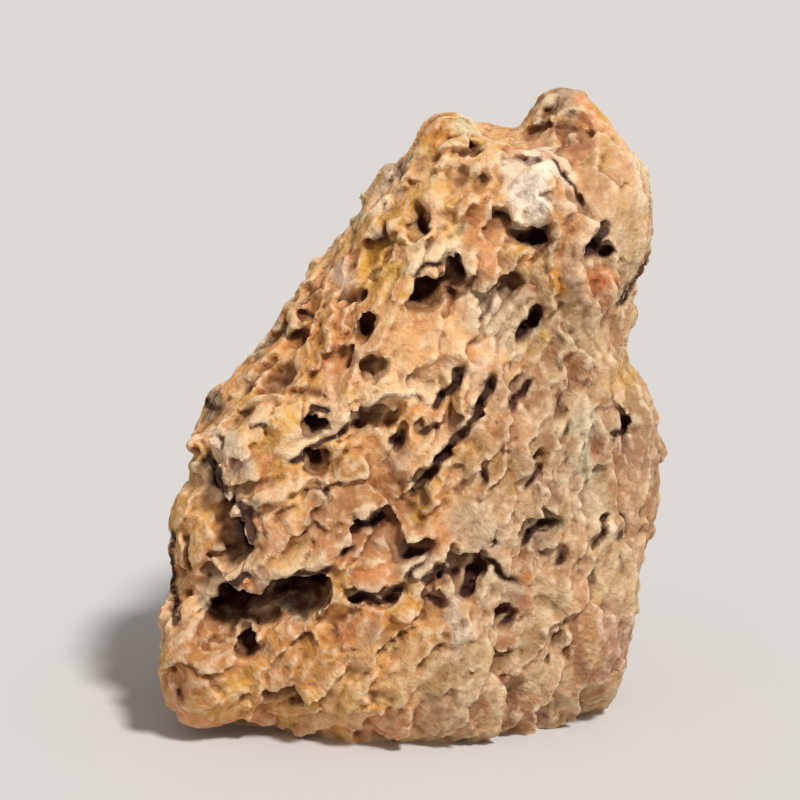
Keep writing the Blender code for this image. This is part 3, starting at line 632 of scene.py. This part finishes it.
# The crevices
# Where one scale has lifted off the next, a narrow crevice runs under its edge. The edge on the crevice's left
# stands out as a lip, and the crevice is cut inward and up beneath it.
CREVICES = (
    # how far the lip stands out, depth, half width, and the line's points, walking with the lip on the left
    ("middle ledge, low", 2.0, 6, 2.0, (-50, -29), (-44, -24), (-37, -20), (-30, -16), (-22, -11), (-15, -7)),
    ("middle ledge, high", 1.5, 3, 1.6, (-16, -6), (-8, 0), (0, 2), (8, 1), (14, -3)),
    ("dark wedge", 1.5, 9, 2.6, (12, -4), (18, 2), (22, 6), (25, 12), (28, 17)),
    ("long crevice", 1.5, 7, 2.2, (3, -41), (9, -34), (14, -29), (18, -23), (24, -16), (30, -9), (34, -2),
     (40, 12)),
    ("upper crevice", 1.0, 6, 1.8, (47, -6), (48, 0), (52, 5), (58, 12)),
    ("short crevice", 0.5, 5, 1.5, (54, -7), (53, 0)),
    ("mid crevice", 1.0, 6, 1.8, (52, -41), (55, -34), (58, -30), (61, -27)),
    ("small crevice", 0.5, 4, 1.4, (23, -31), (28, -24)),
    ("small crevice", 0.5, 4, 1.4, (34, -39), (35, -32), (37, -26)),
    ("dot", 0.0, 4, 1.5, (43, -24), (44, -18)),
    ("right crevice", 0.8, 6, 2.0, (69, -18), (70, -13), (73, -8)),
    ("right crevice", 0.8, 5, 1.7, (69, -29), (72, -25), (75, -22)),
    ("pocket's upper edge", 1.2, 7, 2.2, (50, -64), (53, -59), (57, -55), (61, -52), (68, -51)),
    ("slot", 0.8, 7, 2.2, (63, -71), (67, -68), (71, -64)),
    ("slot", 0.6, 4, 1.3, (62, -75), (69, -71)),
    ("long crack", 0.8, 5, 1.5, (81, -66), (84, -60), (86, -55), (88, -50), (91, -44)),
    ("side hole", 1.0, 6, 2.6, (90, -62), (93, -57), (97, -52)),
    ("side crack", 0.4, 4, 1.4, (94, -75), (94, -64)),
    ("zigzag", 0.8, 6, 1.8, (90, -22), (91, -16), (94, -12), (95, -8), (97, -4)),
    ("fold", 0.6, 4, 1.4, (36, -65), (40, -59), (43, -55)),
    ("under the grey plate", 1.0, 5, 1.8, (33, -66), (40, -70), (45, -75), (51, -79)),
    ("wedge", 1.0, 9, 3.4, (26, -86), (28, -78), (31, -72), (35, -66)),
    ("cup arc, left", 1.5, 7, 2.2, (-2, -69), (5, -64), (13, -62)),
    ("cup arc, middle", 1.2, 5, 1.5, (1, -78), (6, -72), (13, -66)),
    ("cup arc, right", 1.5, 8, 3.0, (8, -80), (12, -75), (18, -72), (25, -71)),
    ("cup arc, low", 0.8, 4, 1.3, (7, -85), (13, -83), (18, -85), (20, -89)),
    ("edge of the slit", 0.8, 5, 1.6, (3, -86), (1, -79)),
    ("dark hole", 0.5, 7, 2.2, (42, -98), (45, -94), (49, -91)),
    ("brown streak", 0.4, 3, 1.6, (75, -77), (77, -70)),
    ("great hole's lip", 1.5, 5, 1.8, (4, 50), (7, 55), (14, 58), (19, 61), (23, 63), (27, 57), (28, 50)),
    ("narrow pit", 0.5, 7, 2.2, (11, 69), (9, 76), (7, 83)),
    ("black slot", 1.0, 9, 2.8, (-15, 27), (-16, 35)),
    ("slit", 0.8, 9, 2.4, (49, 24), (52, 30), (56, 36), (59, 43)),
    ("dark nick", 0.6, 6, 2.2, (46, 45), (49, 51)),
    ("hatch", 0.8, 3, 1.1, (30, 27), (36, 38), (42, 48)),
    ("hatch", 0.8, 3, 1.1, (34, 26), (40, 36), (47, 46)),
    ("hatch", 0.8, 3, 1.1, (38, 24), (44, 33), (51, 42)),
    ("hatch", 0.8, 3, 1.1, (31, 35), (36, 44), (40, 52)),
    ("hatch", 0.8, 3, 1.1, (43, 20), (47, 27), (52, 33)),
    ("hatch", 0.6, 3, 1.1, (44, 8), (48, 16), (52, 22)),
    ("hatch", 0.6, 3, 1.1, (50, 14), (56, 22)),
    ("hatch", 0.6, 3, 1.1, (62, 4), (66, 12), (68, 16)),
    ("under the white lump", 1.5, 8, 3.0, (45, 74), (50, 71), (56, 70), (61, 72), (65, 76)),
    ("brow of the bowl", 1.2, 4, 1.5, (36, 78), (41, 80), (46, 78), (49, 74)),
    ("head groove", 0.6, 5, 1.3, (79, 79), (77, 85), (74, 90), (70, 96), (67, 101), (61, 105)),
    ("small groove", 0.4, 4, 1.2, (68, 74), (73, 79)),
    ("head slash", 1.0, 9, 2.8, (79, 58), (80, 64), (84, 69), (90, 76)),
    ("pocket's arc", 1.0, 6, 2.0, (80, 61), (86, 64), (91, 65), (94, 60)),
    ("edge crack", 0.8, 6, 1.8, (91, 37), (95, 44), (99, 50), (103, 57), (107, 63)),
    ("nick", 0.5, 5, 1.7, (87, 19), (91, 24)),
    ("nick", 0.5, 3, 1.4, (77, 11), (84, 16)),
    ("edge of the slab", 0.6, 4, 1.3, (-6, 90), (-2, 97), (3, 106)),
    ("crown notch", 0.4, 6, 2.2, (30, 109), (34, 104)),
    ("crack over the pocket", 1.5, 9, 2.8, (-73, -43), (-77, -36), (-80, -29), (-82, -21)),
    ("pocket's right wall", 1.5, 9, 3.0, (-63, -65), (-64, -56), (-66, -48), (-71, -40)),
    ("beside the pocket", 0.5, 4, 1.3, (-57, -61), (-62, -53)),
    ("cave's roof, right", 2.0, 7, 2.4, (-57, -83), (-50, -78), (-43, -74), (-34, -74), (-27, -70)),
    ("cave's roof, left", 2.0, 7, 2.4, (-82, -87), (-77, -82), (-71, -77), (-65, -75), (-61, -78)),
    ("dark nick", 0.5, 8, 2.8, (-84, -73), (-79, -77)),
    ("edge of the bulge", 1.0, 4, 1.4, (-92, -91), (-86, -89), (-78, -88), (-72, -93)),
    ("ring, low", 0.8, 4, 1.3, (-30, -48), (-31, -41), (-34, -37), (-40, -40), (-45, -45)),
    ("ring, high", 0.5, 3, 1.1, (-45, -50), (-41, -55), (-34, -54)),
    ("short line", 0.5, 3, 1.1, (-47, -57), (-44, -61), (-39, -64)),
    ("star's brow", 2.0, 8, 2.6, (-22, -49), (-17, -52), (-11, -51), (-6, -47)),
    ("star's arm", 0.8, 4, 1.3, (-28, -70), (-22, -64), (-17, -58)),
    ("star's arm", 0.8, 4, 1.3, (-13, -57), (-10, -62), (-7, -66)),
    ("red slit", 1.2, 8, 2.2, (-24, -84), (-16, -83), (-9, -86), (-3, -83), (2, -79)),
    ("left upright crack", 1.0, 7, 1.9, (-97, -100), (-96, -88), (-97, -76), (-98, -62), (-97, -53)),
    ("dash", 0.4, 4, 1.2, (-28, 1), (-28, 9)),
    ("mark", 0.4, 4, 1.4, (-10, 5), (-12, 12), (-18, 14)),
    ("mark", 0.4, 3, 1.1, (-20, 16), (-8, 18)),
    ("dash", 0.4, 3, 1.2, (-58, 7), (-50, 10)),
    ("edge blob", 0.5, 7, 2.6, (-90, -5), (-84, 1), (-78, -5)),
    ("lip arc", 1.0, 4, 1.4, (-67, -13), (-60, -10), (-54, -13)),
    ("thin crack", 0.4, 3, 1.1, (-20, -101), (-12, -93)),
    ("foot crack", 0.8, 6, 2.0, (-93, -131), (-96, -120)),
    ("teardrop", 1.0, 9, 2.8, (-5, -21), (-2, -16), (2, -12)),
    ("teardrop's tail", 0.6, 4, 1.2, (-9, -30), (-5, -22)),
    ("under the wedge", 1.0, 8, 2.6, (6, -14), (11, -12), (17, -11)),
    ("eye hole's ring", 0.8, 7, 1.9, (-42, -11), (-38, -4), (-31, -4), (-32, -9)),
)
CREVICE_MARGIN = 20
CREVICE_WOBBLE, CREVICE_WOBBLE_LENGTH = 0.8, 9
# How a lip and a cut fall off: to the right, to the left, how squarely, and at both ends. A cut's sides are
# shares of its half width.
LIP_FADES = 0.8, 5, 1, 4
CUT_FADES = 0.85, 0.45, 1.8, 6
FINE_VOXEL = 1.0 * MM


def crevice_heights(points, normals, crevices):
    """How far the lips stand out and how deep the crevices are at each point, in millimetres."""
    places, sights = sight_places(points, 0)
    flat_places = np.column_stack((places, np.zeros(len(places))))
    places += CREVICE_WOBBLE * wander(flat_places, CREVICE_WOBBLE_LENGTH)[:, :2]
    facing = np.clip(-(sights * normals).sum(axis=1) * FACING_GAIN, 0, 1)
    lips, cuts = np.zeros(len(points)), np.zeros(len(points))
    for _, lip, depth, half_width, *line in crevices:
        low, high = np.min(line, axis=0) - CREVICE_MARGIN, np.max(line, axis=0) + CREVICE_MARGIN
        near = np.flatnonzero(((places > low) & (places < high)).all(axis=1))
        right, left, fullness, end_fade = LIP_FADES
        lips[near] += crest_height(places[near], lip, right, left, line, fullness, end_fade) * facing[near]
        right, left, fullness, end_fade = CUT_FADES
        sides = right * half_width, left * half_width
        cut = crest_height(places[near], depth, *sides, line, fullness, end_fade) * facing[near]
        cuts[near] = np.maximum(cuts[near], cut)
    return lips, cuts


points, normals = points_of(stone.data), normals_of(stone.data)
lips, cuts = crevice_heights(points, normals, CREVICES)
outward = normals + (0, 0, -DROOP)
set_points(stone.data, points + outward * ((lips - cuts) * MM)[:, None])
reskin(stone, FINE_VOXEL, 0)


# The grit of the surface
# Sand and fine gravel sit in the clay, so even its smooth faces are a little rough to the touch. Thin veins,
# harder than the rest, stand out from it.
GRIT, GRIT_SIZE = 0.4 * MM, 4 * MM
VEINS, VEIN_SPACING = 0.12 * MM, 9 * MM


def sandy(point):
    """How far sand, and thin hard veins, stand out at that point."""
    grit = noise.fractal(Vector(point) / GRIT_SIZE, 0.8, 2.1, 3)
    veins = noise.ridged_multi_fractal(Vector(point) / VEIN_SPACING, 0.9, 2.1, 3, 1.0, 2.0)
    return GRIT * grit + VEINS * veins


points, normals = points_of(stone.data), normals_of(stone.data)
heights = np.array([sandy(point) for point in points])
set_points(stone.data, points + normals * heights[:, None])


# The foot
# The end that it stands on is worn nearly flat, so it is cut level here as it is in the solid. The finished
# stone stands with the middle of its foot's level at the origin.
FACES = 195000
SHARP_ANGLE = math.radians(40)
bm = bmesh.new()
bm.from_mesh(stone.data)
every = bm.verts[:] + bm.edges[:] + bm.faces[:]
cut = bmesh.ops.bisect_plane(bm, geom=every, plane_co=(0, 0, 0), plane_no=(0, 0, -1), clear_outer=True)
rim = [item for item in cut["geom_cut"] if isinstance(item, bmesh.types.BMEdge)]
bmesh.ops.holes_fill(bm, edges=rim)
bmesh.ops.triangulate(bm, faces=bm.faces)
keep_main_shell(bm)
bm.to_mesh(stone.data)
bm.free()
points = points_of(stone.data)
low, high = points.min(axis=0), points.max(axis=0)
centre = ((low[0] + high[0]) / 2, (low[1] + high[1]) / 2, low[2])
set_points(stone.data, points - centre)
thin = stone.modifiers.new("thin", "DECIMATE")
thin.ratio = FACES / len(stone.data.polygons)
bake(stone)
stone.data.shade_smooth()
stone.data.set_sharp_from_angle(angle=SHARP_ANGLE)


# The colour of the clay
# Iron stains the clay from cream through tan to rust, and scale by scale, because each dries at its own pace.
# Crests and the lips of ledges get a painted highlight, and creases, hollows, seams and crevices get painted
# shade.
SKY_REACH, SKY_RAYS = 28 * MM, 28
CREST_HEIGHT = 0.8  # mm that a crest stands out of its neighbourhood where its painted highlight is full
LIP_HEIGHT, CREVICE_DEPTH = 2, 4.5  # mm at which the painted highlight of a lip and the painted shade of a crevice are full
FLAKE_SHARE = 0.35
PATCH_RAG, PATCH_RAG_LENGTH = 4 * MM, 17 * MM
PATCH_REACH, PATCH_GAIN = 1.15, 2  # a stain or a patch of painted shade is full over most of its width and ends a little outside it
BROWN_SLANT, BROWN_HEIGHT, BROWN_FADE, BROWN_TOP = 0.3, 60 * MM, 30 * MM, 225 * MM
BROWN_RAG, BROWN_RAG_LENGTH = 8 * MM, 60 * MM


def linear(code):
    """An sRGB hex colour as linear light."""
    parts = [int(code[i:i + 2], 16) / 255 for i in (1, 3, 5)]
    return [part / 12.92 if part <= 0.04045 else ((part + 0.055) / 1.055) ** 2.4 for part in parts] + [1]


def keep(name, values):
    stone.data.attributes.new(name, "FLOAT", "POINT").data.foreach_set("value", values.astype(np.float32))


def edge_ends(mesh):
    ends = np.empty(len(mesh.edges) * 2, dtype=np.int32)
    mesh.edges.foreach_get("vertices", ends)
    return ends.reshape(-1, 2)


def smoothed(values, ends, passes):
    """The values after each has become the mean of its neighbours' that many times."""
    first = np.concatenate((ends[:, 0], ends[:, 1]))
    second = np.concatenate((ends[:, 1], ends[:, 0]))
    count = len(values)
    share = 1 / np.maximum(np.bincount(first, minlength=count), 1)
    for _ in range(passes):
        columns = [np.bincount(first, weights=column[second], minlength=count) * share for column in values.T]
        values = np.column_stack(columns)
    return values


def openness(mesh, reach, rays):
    """The share of rays, spread over the open side of each point, that meet nothing within reach."""
    tree = tree_of(mesh)
    turns = np.arange(rays) * math.pi * (3 - math.sqrt(5))
    rise = 1 - 2 * (np.arange(rays) + 0.5) / rays
    level = np.sqrt(1 - rise * rise)
    ways = [Vector(way) for way in np.column_stack((np.cos(turns) * level, np.sin(turns) * level, rise))]
    shares = np.empty(len(mesh.vertices))
    for number, vert in enumerate(mesh.vertices):
        normal = vert.normal
        start = vert.co + normal * 0.3 * MM
        seen = [tree.ray_cast(start, way, reach)[0] is None for way in ways if way.dot(normal) > 0.2]
        shares[number] = sum(seen) / len(seen)
    return shares


WARM_TINTS = ("#BC783E", "#D0935A", "#E6B37E", "#D39C48", "#DB9762", "#BF7A46")
BROWN_TINTS = ("#8E6243", "#B28159", "#CDA980", "#A58558", "#BA855E", "#86604A")
# The clay's own stains, with some patches of painted shade: in the cave, on the pocket's wall, in the crack over
# it, at the pit's top, under the middle ledge and under the lump.
STAINS_AND_SHADE = (
    # across, up, half width, half height, angle from level, strength, and colour
    ("rust of the foot", -25, -78, 75, 38, 0, 0.3, "#B46228"),
    ("brown of the right", 50, -12, 24, 30, 0, 0.35, "#8A6244"),
    ("sandy head", 93, 85, 22, 30, 0, 0.55, "#BF9B77"),
    ("pink of the head", 74, 112, 9, 13, 10, 0.6, "#C08668"),
    ("dark blobs of the head", 73, 114, 4, 6, 0, 0.6, "#8A5A3E"),
    ("olive strip of the crown", 62, 113, 5, 12, 0, 0.6, "#A89070"),
    ("grey tip of the crown", 68, 127, 13, 8, 0, 0.75, "#A08A70"),
    ("pale edge of the head", 104, 96, 5, 14, 0, 0.6, "#E6D2B4"),
    ("pink patch of the crown", 52, 115, 7, 8, 0, 0.6, "#CE9A78"),
    ("white lump", 58, 90, 12, 19, 0, 1.0, "#FFEBD2"),
    ("shade under the lump", 57, 70, 11, 5, 0, 0.7, "#4A3420"),
    ("pale green top", 28, 115, 6, 7, 0, 0.7, "#D6CFA4"),
    ("orange top", 17, 114, 8, 8, 0, 0.8, "#D68A40"),
    ("grey slab of the shoulder", -5, 98, 6, 12, -35, 0.7, "#A39282"),
    ("ochre column", 3, 77, 5, 11, 0, 0.75, "#C08A38"),
    ("yellow floor of the pit", -10, 58, 7, 10, 0, 0.9, "#CE9628"),
    # Painted shade at the pit's top, under its lip.
    ("painted shade at the top of the pit", -10, 71, 6, 5, 0, 0.8, "#5A2A18"),
    ("cream lip of the great hole", 16, 64, 14, 6, 20, 0.7, "#E8CA9E"),
    ("olive of the lip", 23, 68, 6, 3, 0, 0.5, "#C0AC5C"),
    ("reddish wall of the great hole", 22, 44, 4, 9, 0, 0.6, "#B06A42"),
    ("ochre of the saddle", 28, 88, 12, 10, 0, 0.35, "#C99048"),
    ("smooth patch", 6, 20, 19, 16, 10, 0.65, "#E6AE78"),
    ("white edge of the slope", -24, 54, 5, 6, 0, 0.5, "#E8D2BC"),
    ("pale top of the slope", -8, 87, 5, 5, 0, 0.6, "#E6C4AC"),
    ("mossy edge", -20, 80, 5, 4, 0, 0.7, "#A2B48C"),
    ("mossy edge", -52, 33, 5, 6, 40, 0.7, "#9DB08A"),
    ("mossy edge", -60, 21, 4, 4, 40, 0.6, "#94A886"),
    ("orange slope", -36, 26, 22, 14, 35, 0.45, "#E09050"),
    ("reddish bowl", -54, 6, 9, 7, 0, 0.55, "#A46440"),
    ("ochre beside the bowl", -41, 6, 6, 5, 0, 0.5, "#D2923A"),
    ("black edge", -82, 0, 6, 6, 0, 0.9, "#2A1C12"),
    ("white lip of the left lobe", -70, -20, 12, 6, -55, 0.6, "#E2D2BE"),
    ("blue grey of the lobe", -70, -30, 7, 5, 0, 0.5, "#A89C90"),
    ("olive edge", -88, -28, 6, 8, 0, 0.4, "#9C8A5C"),
    ("rust left of the pocket", -80, -42, 6, 6, 0, 0.5, "#A65E36"),
    ("orange floor of the pocket", -74, -58, 8, 9, 0, 0.7, "#BE763A"),
    # Painted shade on the pocket's shadowed wall.
    ("painted shade on the pocket's wall", -66, -52, 4.5, 13, 12, 0.85, "#3A1A0C"),
    # Painted shade in the crack over the pocket.
    ("painted shade in the crack over the pocket", -77, -33, 3.5, 11, 22, 0.8, "#3A1A0C"),
    ("orange curl", -38, -49, 9, 10, 0, 0.6, "#C07A3C"),
    ("peach below the curl", -55, -58, 8, 12, 0, 0.45, "#CE9264"),
    # Painted shade inside the cave, under its overhanging roof.
    ("painted shade of the cave", -71, -88, 12, 8, 8, 0.92, "#32150A"),
    ("painted shade of the cave", -44, -84, 14, 9, 16, 0.92, "#32150A"),
    ("pale tooth of the cave", -58, -84, 3, 9, 0, 0.6, "#A8968A"),
    ("rust below the cave", -45, -96, 7, 4, 0, 0.5, "#B0603A"),
    ("tan bulge", -85, -108, 15, 18, 0, 0.75, "#A0683A"),
    ("ochre by the bulge", -103, -108, 5, 7, 0, 0.6, "#C8934A"),
    ("purple round hole", -63, -106, 6, 6, 0, 0.75, "#5C4440"),
    ("orange foot", -40, -110, 18, 16, 0, 0.6, "#BE7C40"),
    ("grey hollow of the foot", -10, -103, 10, 9, 0, 0.5, "#A6906A"),
    ("pale plate of the middle", -40, -16, 9, 4, 25, 0.4, "#C9AE98"),
    ("grey plate of the middle", 0, -28, 6, 7, 0, 0.5, "#A08A74"),
    # Painted shade where the middle lies recessed under its ledge.
    ("painted shade under the middle ledge", -17, -47, 27, 24, 20, 0.7, "#9C663C"),
    ("ochre of the middle", 8, -47, 5, 5, 0, 0.75, "#C29438"),
    ("green dot", 8, -12, 3, 3, 0, 0.6, "#8E9460"),
    ("green dot", 20, -8, 3, 3, 0, 0.6, "#8E9460"),
    ("cream plate", 32, -56, 13, 13, 0, 0.65, "#CDB492"),
    ("peach plate", 53, -12, 9, 8, 0, 0.5, "#CE9A70"),
    ("ochre plate", 49, -30, 11, 8, 20, 0.5, "#B88E54"),
    ("mauve plate", 62, -36, 10, 8, 20, 0.5, "#A07C66"),
    ("green grey strip", 79, -20, 7, 22, -10, 0.65, "#BBAE92"),
    ("green dots", 80, -24, 3, 5, 0, 0.5, "#6E765A"),
    ("cream crest of the right", 81, -46, 7, 10, -25, 0.6, "#D8C2A2"),
    ("mauve floor of the pocket", 60, -61, 9, 7, 30, 0.6, "#94705C"),
    ("orange streak", 54, -75, 3, 4, 0, 0.7, "#D08030"),
    ("pink side", 103, -22, 8, 26, 0, 0.7, "#9C7458"),
    ("brown zigzag", 92, -15, 5, 11, 0, 0.5, "#8A6044"),
    ("mauve ribs", 92, -102, 8, 18, 0, 0.5, "#AC8070"),
    ("white ridge", 24, -95, 5, 12, 10, 0.6, "#D2C2B0"),
    ("dark swirl", 11, -72, 13, 10, 20, 0.55, "#6E5240"),
    ("green grey plate", 41, -82, 6, 13, 0, 0.5, "#A3977A"),
    ("orange foot of the right", 83, -95, 5, 11, 0, 0.5, "#B8783E"),
    ("grey hatched face", 45, 38, 17, 18, 30, 0.65, "#9E846C"),
    ("white pink plate", 33, 16, 6, 12, -15, 0.55, "#E0BEA2"),
    ("mauve of the slit", 73, 51, 5, 9, 0, 0.45, "#B0887A"),
    ("yellow streak", 65, 51, 3.5, 11, 0, 0.9, "#E0963A"),
    ("orange strip of the head", 72, 84, 5, 9, 0, 0.5, "#C88A58"),
    ("orange floor of the head's pocket", 86, 50, 8, 9, 0, 0.9, "#C8723E"),
    ("olive face", 77, 28, 12, 13, 0, 0.5, "#B59E76"),
    ("ochre dot", 61, 26, 5, 4, 0, 0.7, "#C49A3C"),
    ("ochre edge", 94, 12, 5, 7, -20, 0.7, "#CC9A4A"),
)


def tints_of(shares, codes):
    """A colour for each share from 0 to 1, blended along the row of hex colours."""
    row = np.array([linear(code)[:3] for code in codes])
    steps = np.linspace(0, 1, len(codes))
    return np.column_stack([np.interp(shares, steps, channel) for channel in row.T])


def stained_and_shaded(colours, points, normals, stains):
    """The colours with every stain and every patch of painted shade laid over them, strongest at its middle and
    with a ragged edge.
    """
    places, sights = sight_places(points + PATCH_RAG * wander(points, PATCH_RAG_LENGTH), 0)
    facing = np.clip(0.5 - (sights * normals).sum(axis=1) * FACING_GAIN, 0, 1)
    for _, across, up, half_width, half_height, angle, strength, code in stains:
        turn = math.radians(angle)
        offset = places - (across, up)
        along = (offset[:, 0] * math.cos(turn) + offset[:, 1] * math.sin(turn)) / half_width
        beside = (offset[:, 1] * math.cos(turn) - offset[:, 0] * math.sin(turn)) / half_height
        share = np.clip(PATCH_GAIN * (PATCH_REACH - np.hypot(along, beside)), 0, 1) * facing * strength
        colours += (np.array(linear(code)[:3]) - colours) * share[:, None]
    return colours


ends = edge_ends(stone.data)
points, normals = points_of(stone.data), normals_of(stone.data)
before = points + centre
# The crest value lays a painted highlight on crests and painted shade in small creases.
fine = ((points - smoothed(points, ends, 2)) * normals).sum(axis=1) / MM
keep("crest", np.clip(fine / CREST_HEIGHT, -1, 1) * 0.5 + 0.5)
# How open each point is to the sky drives painted shade in hollows.
keep("open_sky", smoothed(openness(stone.data, SKY_REACH, SKY_RAYS)[:, None], ends, 1))
lips, cuts = crevice_heights(before, normals, CREVICES)
# Lips of ledges get a painted highlight.
keep("lip", lips / LIP_HEIGHT)
# Crevices get painted shade.
keep("crevice", cuts / CREVICE_DEPTH)
wobbled = before + SCALE_WOBBLE * wander(before, WOBBLE_LENGTH * SCALE_WOBBLE)
owner, places, _, near_seam = nearest_scale(wobbled, scales)
scale_tint = np.array([scale[5] for scale in scales])[owner]
# Seams between scales get painted shade.
keep("seam", seam_depth(places, near_seam, scale_tint))
flake_tint = np.array([flake[5] for flake in flakes])[nearest_scale(before, flakes)[0]]
shares = (1 - FLAKE_SHARE) * scale_tint + FLAKE_SHARE * flake_tint
# The upper left is warm, and the lower right is a duller brown beyond a ragged slanting line.
drift = wander(points, BROWN_RAG_LENGTH)[:, 0] * BROWN_RAG
right = np.clip((before[:, 0] - BROWN_SLANT * (before[:, 2] - BROWN_HEIGHT) + drift) / BROWN_FADE, 0, 1)
brown = (right * np.clip((BROWN_TOP - before[:, 2]) / BROWN_FADE, 0, 1))[:, None]
colours = tints_of(shares, WARM_TINTS) * (1 - brown) + tints_of(shares, BROWN_TINTS) * brown
# Lays the stains and the patches of painted shade over the tints.
colours = stained_and_shaded(colours, before, normals, STAINS_AND_SHADE)
colours = np.column_stack((colours, np.ones(len(colours)))).astype(np.float32)
stone.data.attributes.new("clay", "FLOAT_COLOR", "POINT").data.foreach_set("color", colours.ravel())

# Dried clay: matt and chalky, with no gloss, so its roughness is high. Blotches of 24 mm, silt of 9 mm, grit
# of 4.5 mm and streaks along the grain speckle it. Grains of 2 mm and hairlines 3.4 mm apart roughen it.
clay = bpy.data.materials.new("dried_clay")
clay.use_nodes = True
clay.node_tree.nodes.clear()


def node(kind, feeds, **settings):
    """Adds a node with these settings, and gives each named socket a value or a link."""
    made = clay.node_tree.nodes.new(kind)
    for name, value in settings.items():
        setattr(made, name, value)
    for socket, source in feeds.items():
        if isinstance(source, bpy.types.NodeSocket):
            clay.node_tree.links.new(source, made.inputs[socket])
        else:
            made.inputs[socket].default_value = source
    return made


place = node("ShaderNodeTexCoord", {}).outputs["Object"]
crest = node("ShaderNodeAttribute", {}, attribute_name="crest").outputs["Fac"]
open_sky = node("ShaderNodeAttribute", {}, attribute_name="open_sky").outputs["Fac"]
crevice = node("ShaderNodeAttribute", {}, attribute_name="crevice").outputs["Fac"]
lip = node("ShaderNodeAttribute", {}, attribute_name="lip").outputs["Fac"]
seam = node("ShaderNodeAttribute", {}, attribute_name="seam").outputs["Fac"]
blotches = node("ShaderNodeTexNoise", {"Vector": place, "Scale": 1 / (24 * MM), "Detail": 4}).outputs["Fac"]
specks = node("ShaderNodeTexNoise", {"Vector": place, "Scale": 1 / (4.5 * MM), "Detail": 5}).outputs["Fac"]
silt = node("ShaderNodeTexNoise", {"Vector": place, "Scale": 1 / (9 * MM), "Detail": 6}).outputs["Fac"]
along_grain = node("ShaderNodeMapping", {
    "Vector": place, "Rotation": (0, math.radians(35), 0), "Scale": (5 * MM, 5 * MM, 30 * MM),
}, vector_type="TEXTURE").outputs["Vector"]
streaks = node("ShaderNodeTexNoise", {"Vector": along_grain, "Scale": 1, "Detail": 4}).outputs["Fac"]
cracks = node("ShaderNodeTexVoronoi", {"Vector": place, "Scale": 1 / (3.4 * MM), "Randomness": 1},
              feature="DISTANCE_TO_EDGE").outputs["Distance"]
LAYERS = (
    # what shows it, where it starts and is full, how strongly it covers, and its colour
    (blotches, 0.52, 0.68, 0.25, "#B87A48"),
    (blotches, 0.46, 0.32, 0.22, "#E0BC8E"),
    (streaks, 0.55, 0.70, 0.40, "#EBCFA8"),
    (streaks, 0.45, 0.32, 0.35, "#8C6042"),
    (specks, 0.44, 0.32, 0.35, "#85552F"),
    (specks, 0.56, 0.70, 0.30, "#F2D4AA"),
    (silt, 0.56, 0.70, 0.30, "#EBCFAA"),
    # Painted shade in small creases, then a painted highlight on crests.
    (crest, 0.44, 0.10, 0.60, "#6E3A16"),
    (crest, 0.62, 1.00, 0.50, "#FAE4C2"),
    # Painted highlight along the lips of ledges.
    (lip, 0.08, 0.60, 0.55, "#F4DAB4"),
    # Painted shade where little of the sky is open, in hollows.
    (open_sky, 0.66, 0.18, 0.96, "#4A1A08"),
    # Painted shade in the seams under the scales' edges.
    (seam, 0.30, 0.90, 0.55, "#6A3415"),
    # Painted shade in the crevices.
    (crevice, 0.25, 0.80, 0.92, "#34120A"),
)
colour = node("ShaderNodeAttribute", {}, attribute_name="clay").outputs["Color"]
for shown_by, start, full, strength, code in LAYERS:
    cover = node("ShaderNodeMapRange", {
        "Value": shown_by, "From Min": start, "From Max": full, "To Max": strength,
    })
    blend = node("ShaderNodeMix", {0: cover.outputs["Result"], 6: colour, 7: linear(code)}, data_type="RGBA")
    colour = blend.outputs[2]
grains = node("ShaderNodeTexNoise", {"Vector": place, "Scale": 1 / (2 * MM), "Detail": 6}).outputs["Fac"]
rough = node("ShaderNodeBump", {"Height": grains, "Strength": 0.8, "Distance": 1.2 * MM})
chipped = node("ShaderNodeBump", {
    "Height": cracks, "Strength": 0.5, "Distance": 0.8 * MM, "Normal": rough.outputs["Normal"],
})
shader = node("ShaderNodeBsdfPrincipled", {
    "Base Color": colour, "Roughness": 0.88, "Specular IOR Level": 0.3, "Normal": chipped.outputs["Normal"],
})
node("ShaderNodeOutputMaterial", {"Surface": shader.outputs["BSDF"]})
stone.data.materials.append(clay)

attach(stone, "root")
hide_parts("dragon_stone")


# The floor, the lights and the camera
# The stone stands on a plain pale floor under one large soft light from the upper right, in an evenly lit room.
# The camera looks a little down at the stone's middle, as the photograph does.
bm = bmesh.new()
bmesh.ops.create_grid(bm, x_segments=1, y_segments=1, size=15)
floor = bpy.data.objects.new("floor", bpy.data.meshes.new("floor"))
bm.to_mesh(floor.data)
bm.free()
bpy.context.scene.collection.objects.link(floor)
pale = bpy.data.materials.new("pale_floor")
pale.use_nodes = True
pale.node_tree.nodes["Principled BSDF"].inputs["Base Color"].default_value = linear("#CECAC7")
pale.node_tree.nodes["Principled BSDF"].inputs["Roughness"].default_value = 0.9
floor.data.materials.append(pale)

world = bpy.data.worlds.new("soft_room")
world.use_nodes = True
world.node_tree.nodes["Background"].inputs["Color"].default_value = linear("#F2F0EE")
world.node_tree.nodes["Background"].inputs["Strength"].default_value = 0.42
bpy.context.scene.world = world

AIM = Vector((-centre[0], -centre[1], SIGHT_HEIGHT))
sun = bpy.data.lights.new("soft_window", "SUN")
sun.energy = 3.2
sun.angle = math.radians(9)
light = bpy.data.objects.new("soft_window", sun)
light.rotation_euler = Vector((-0.45, 0.6, -1)).to_track_quat("-Z", "Y").to_euler()
bpy.context.scene.collection.objects.link(light)

bpy.context.scene.view_settings.view_transform = "Standard"
camera = bpy.data.objects.new("camera", bpy.data.cameras.new("camera"))
camera.data.sensor_width = 36
camera.data.lens = 137
camera.data.clip_start = 0.05
camera.location = AIM - sight_axes(0)[2] * SIGHT_DISTANCE
camera.rotation_euler = sight_axes(0)[2].to_track_quat("-Z", "Y").to_euler()
bpy.context.scene.collection.objects.link(camera)
bpy.context.scene.camera = camera
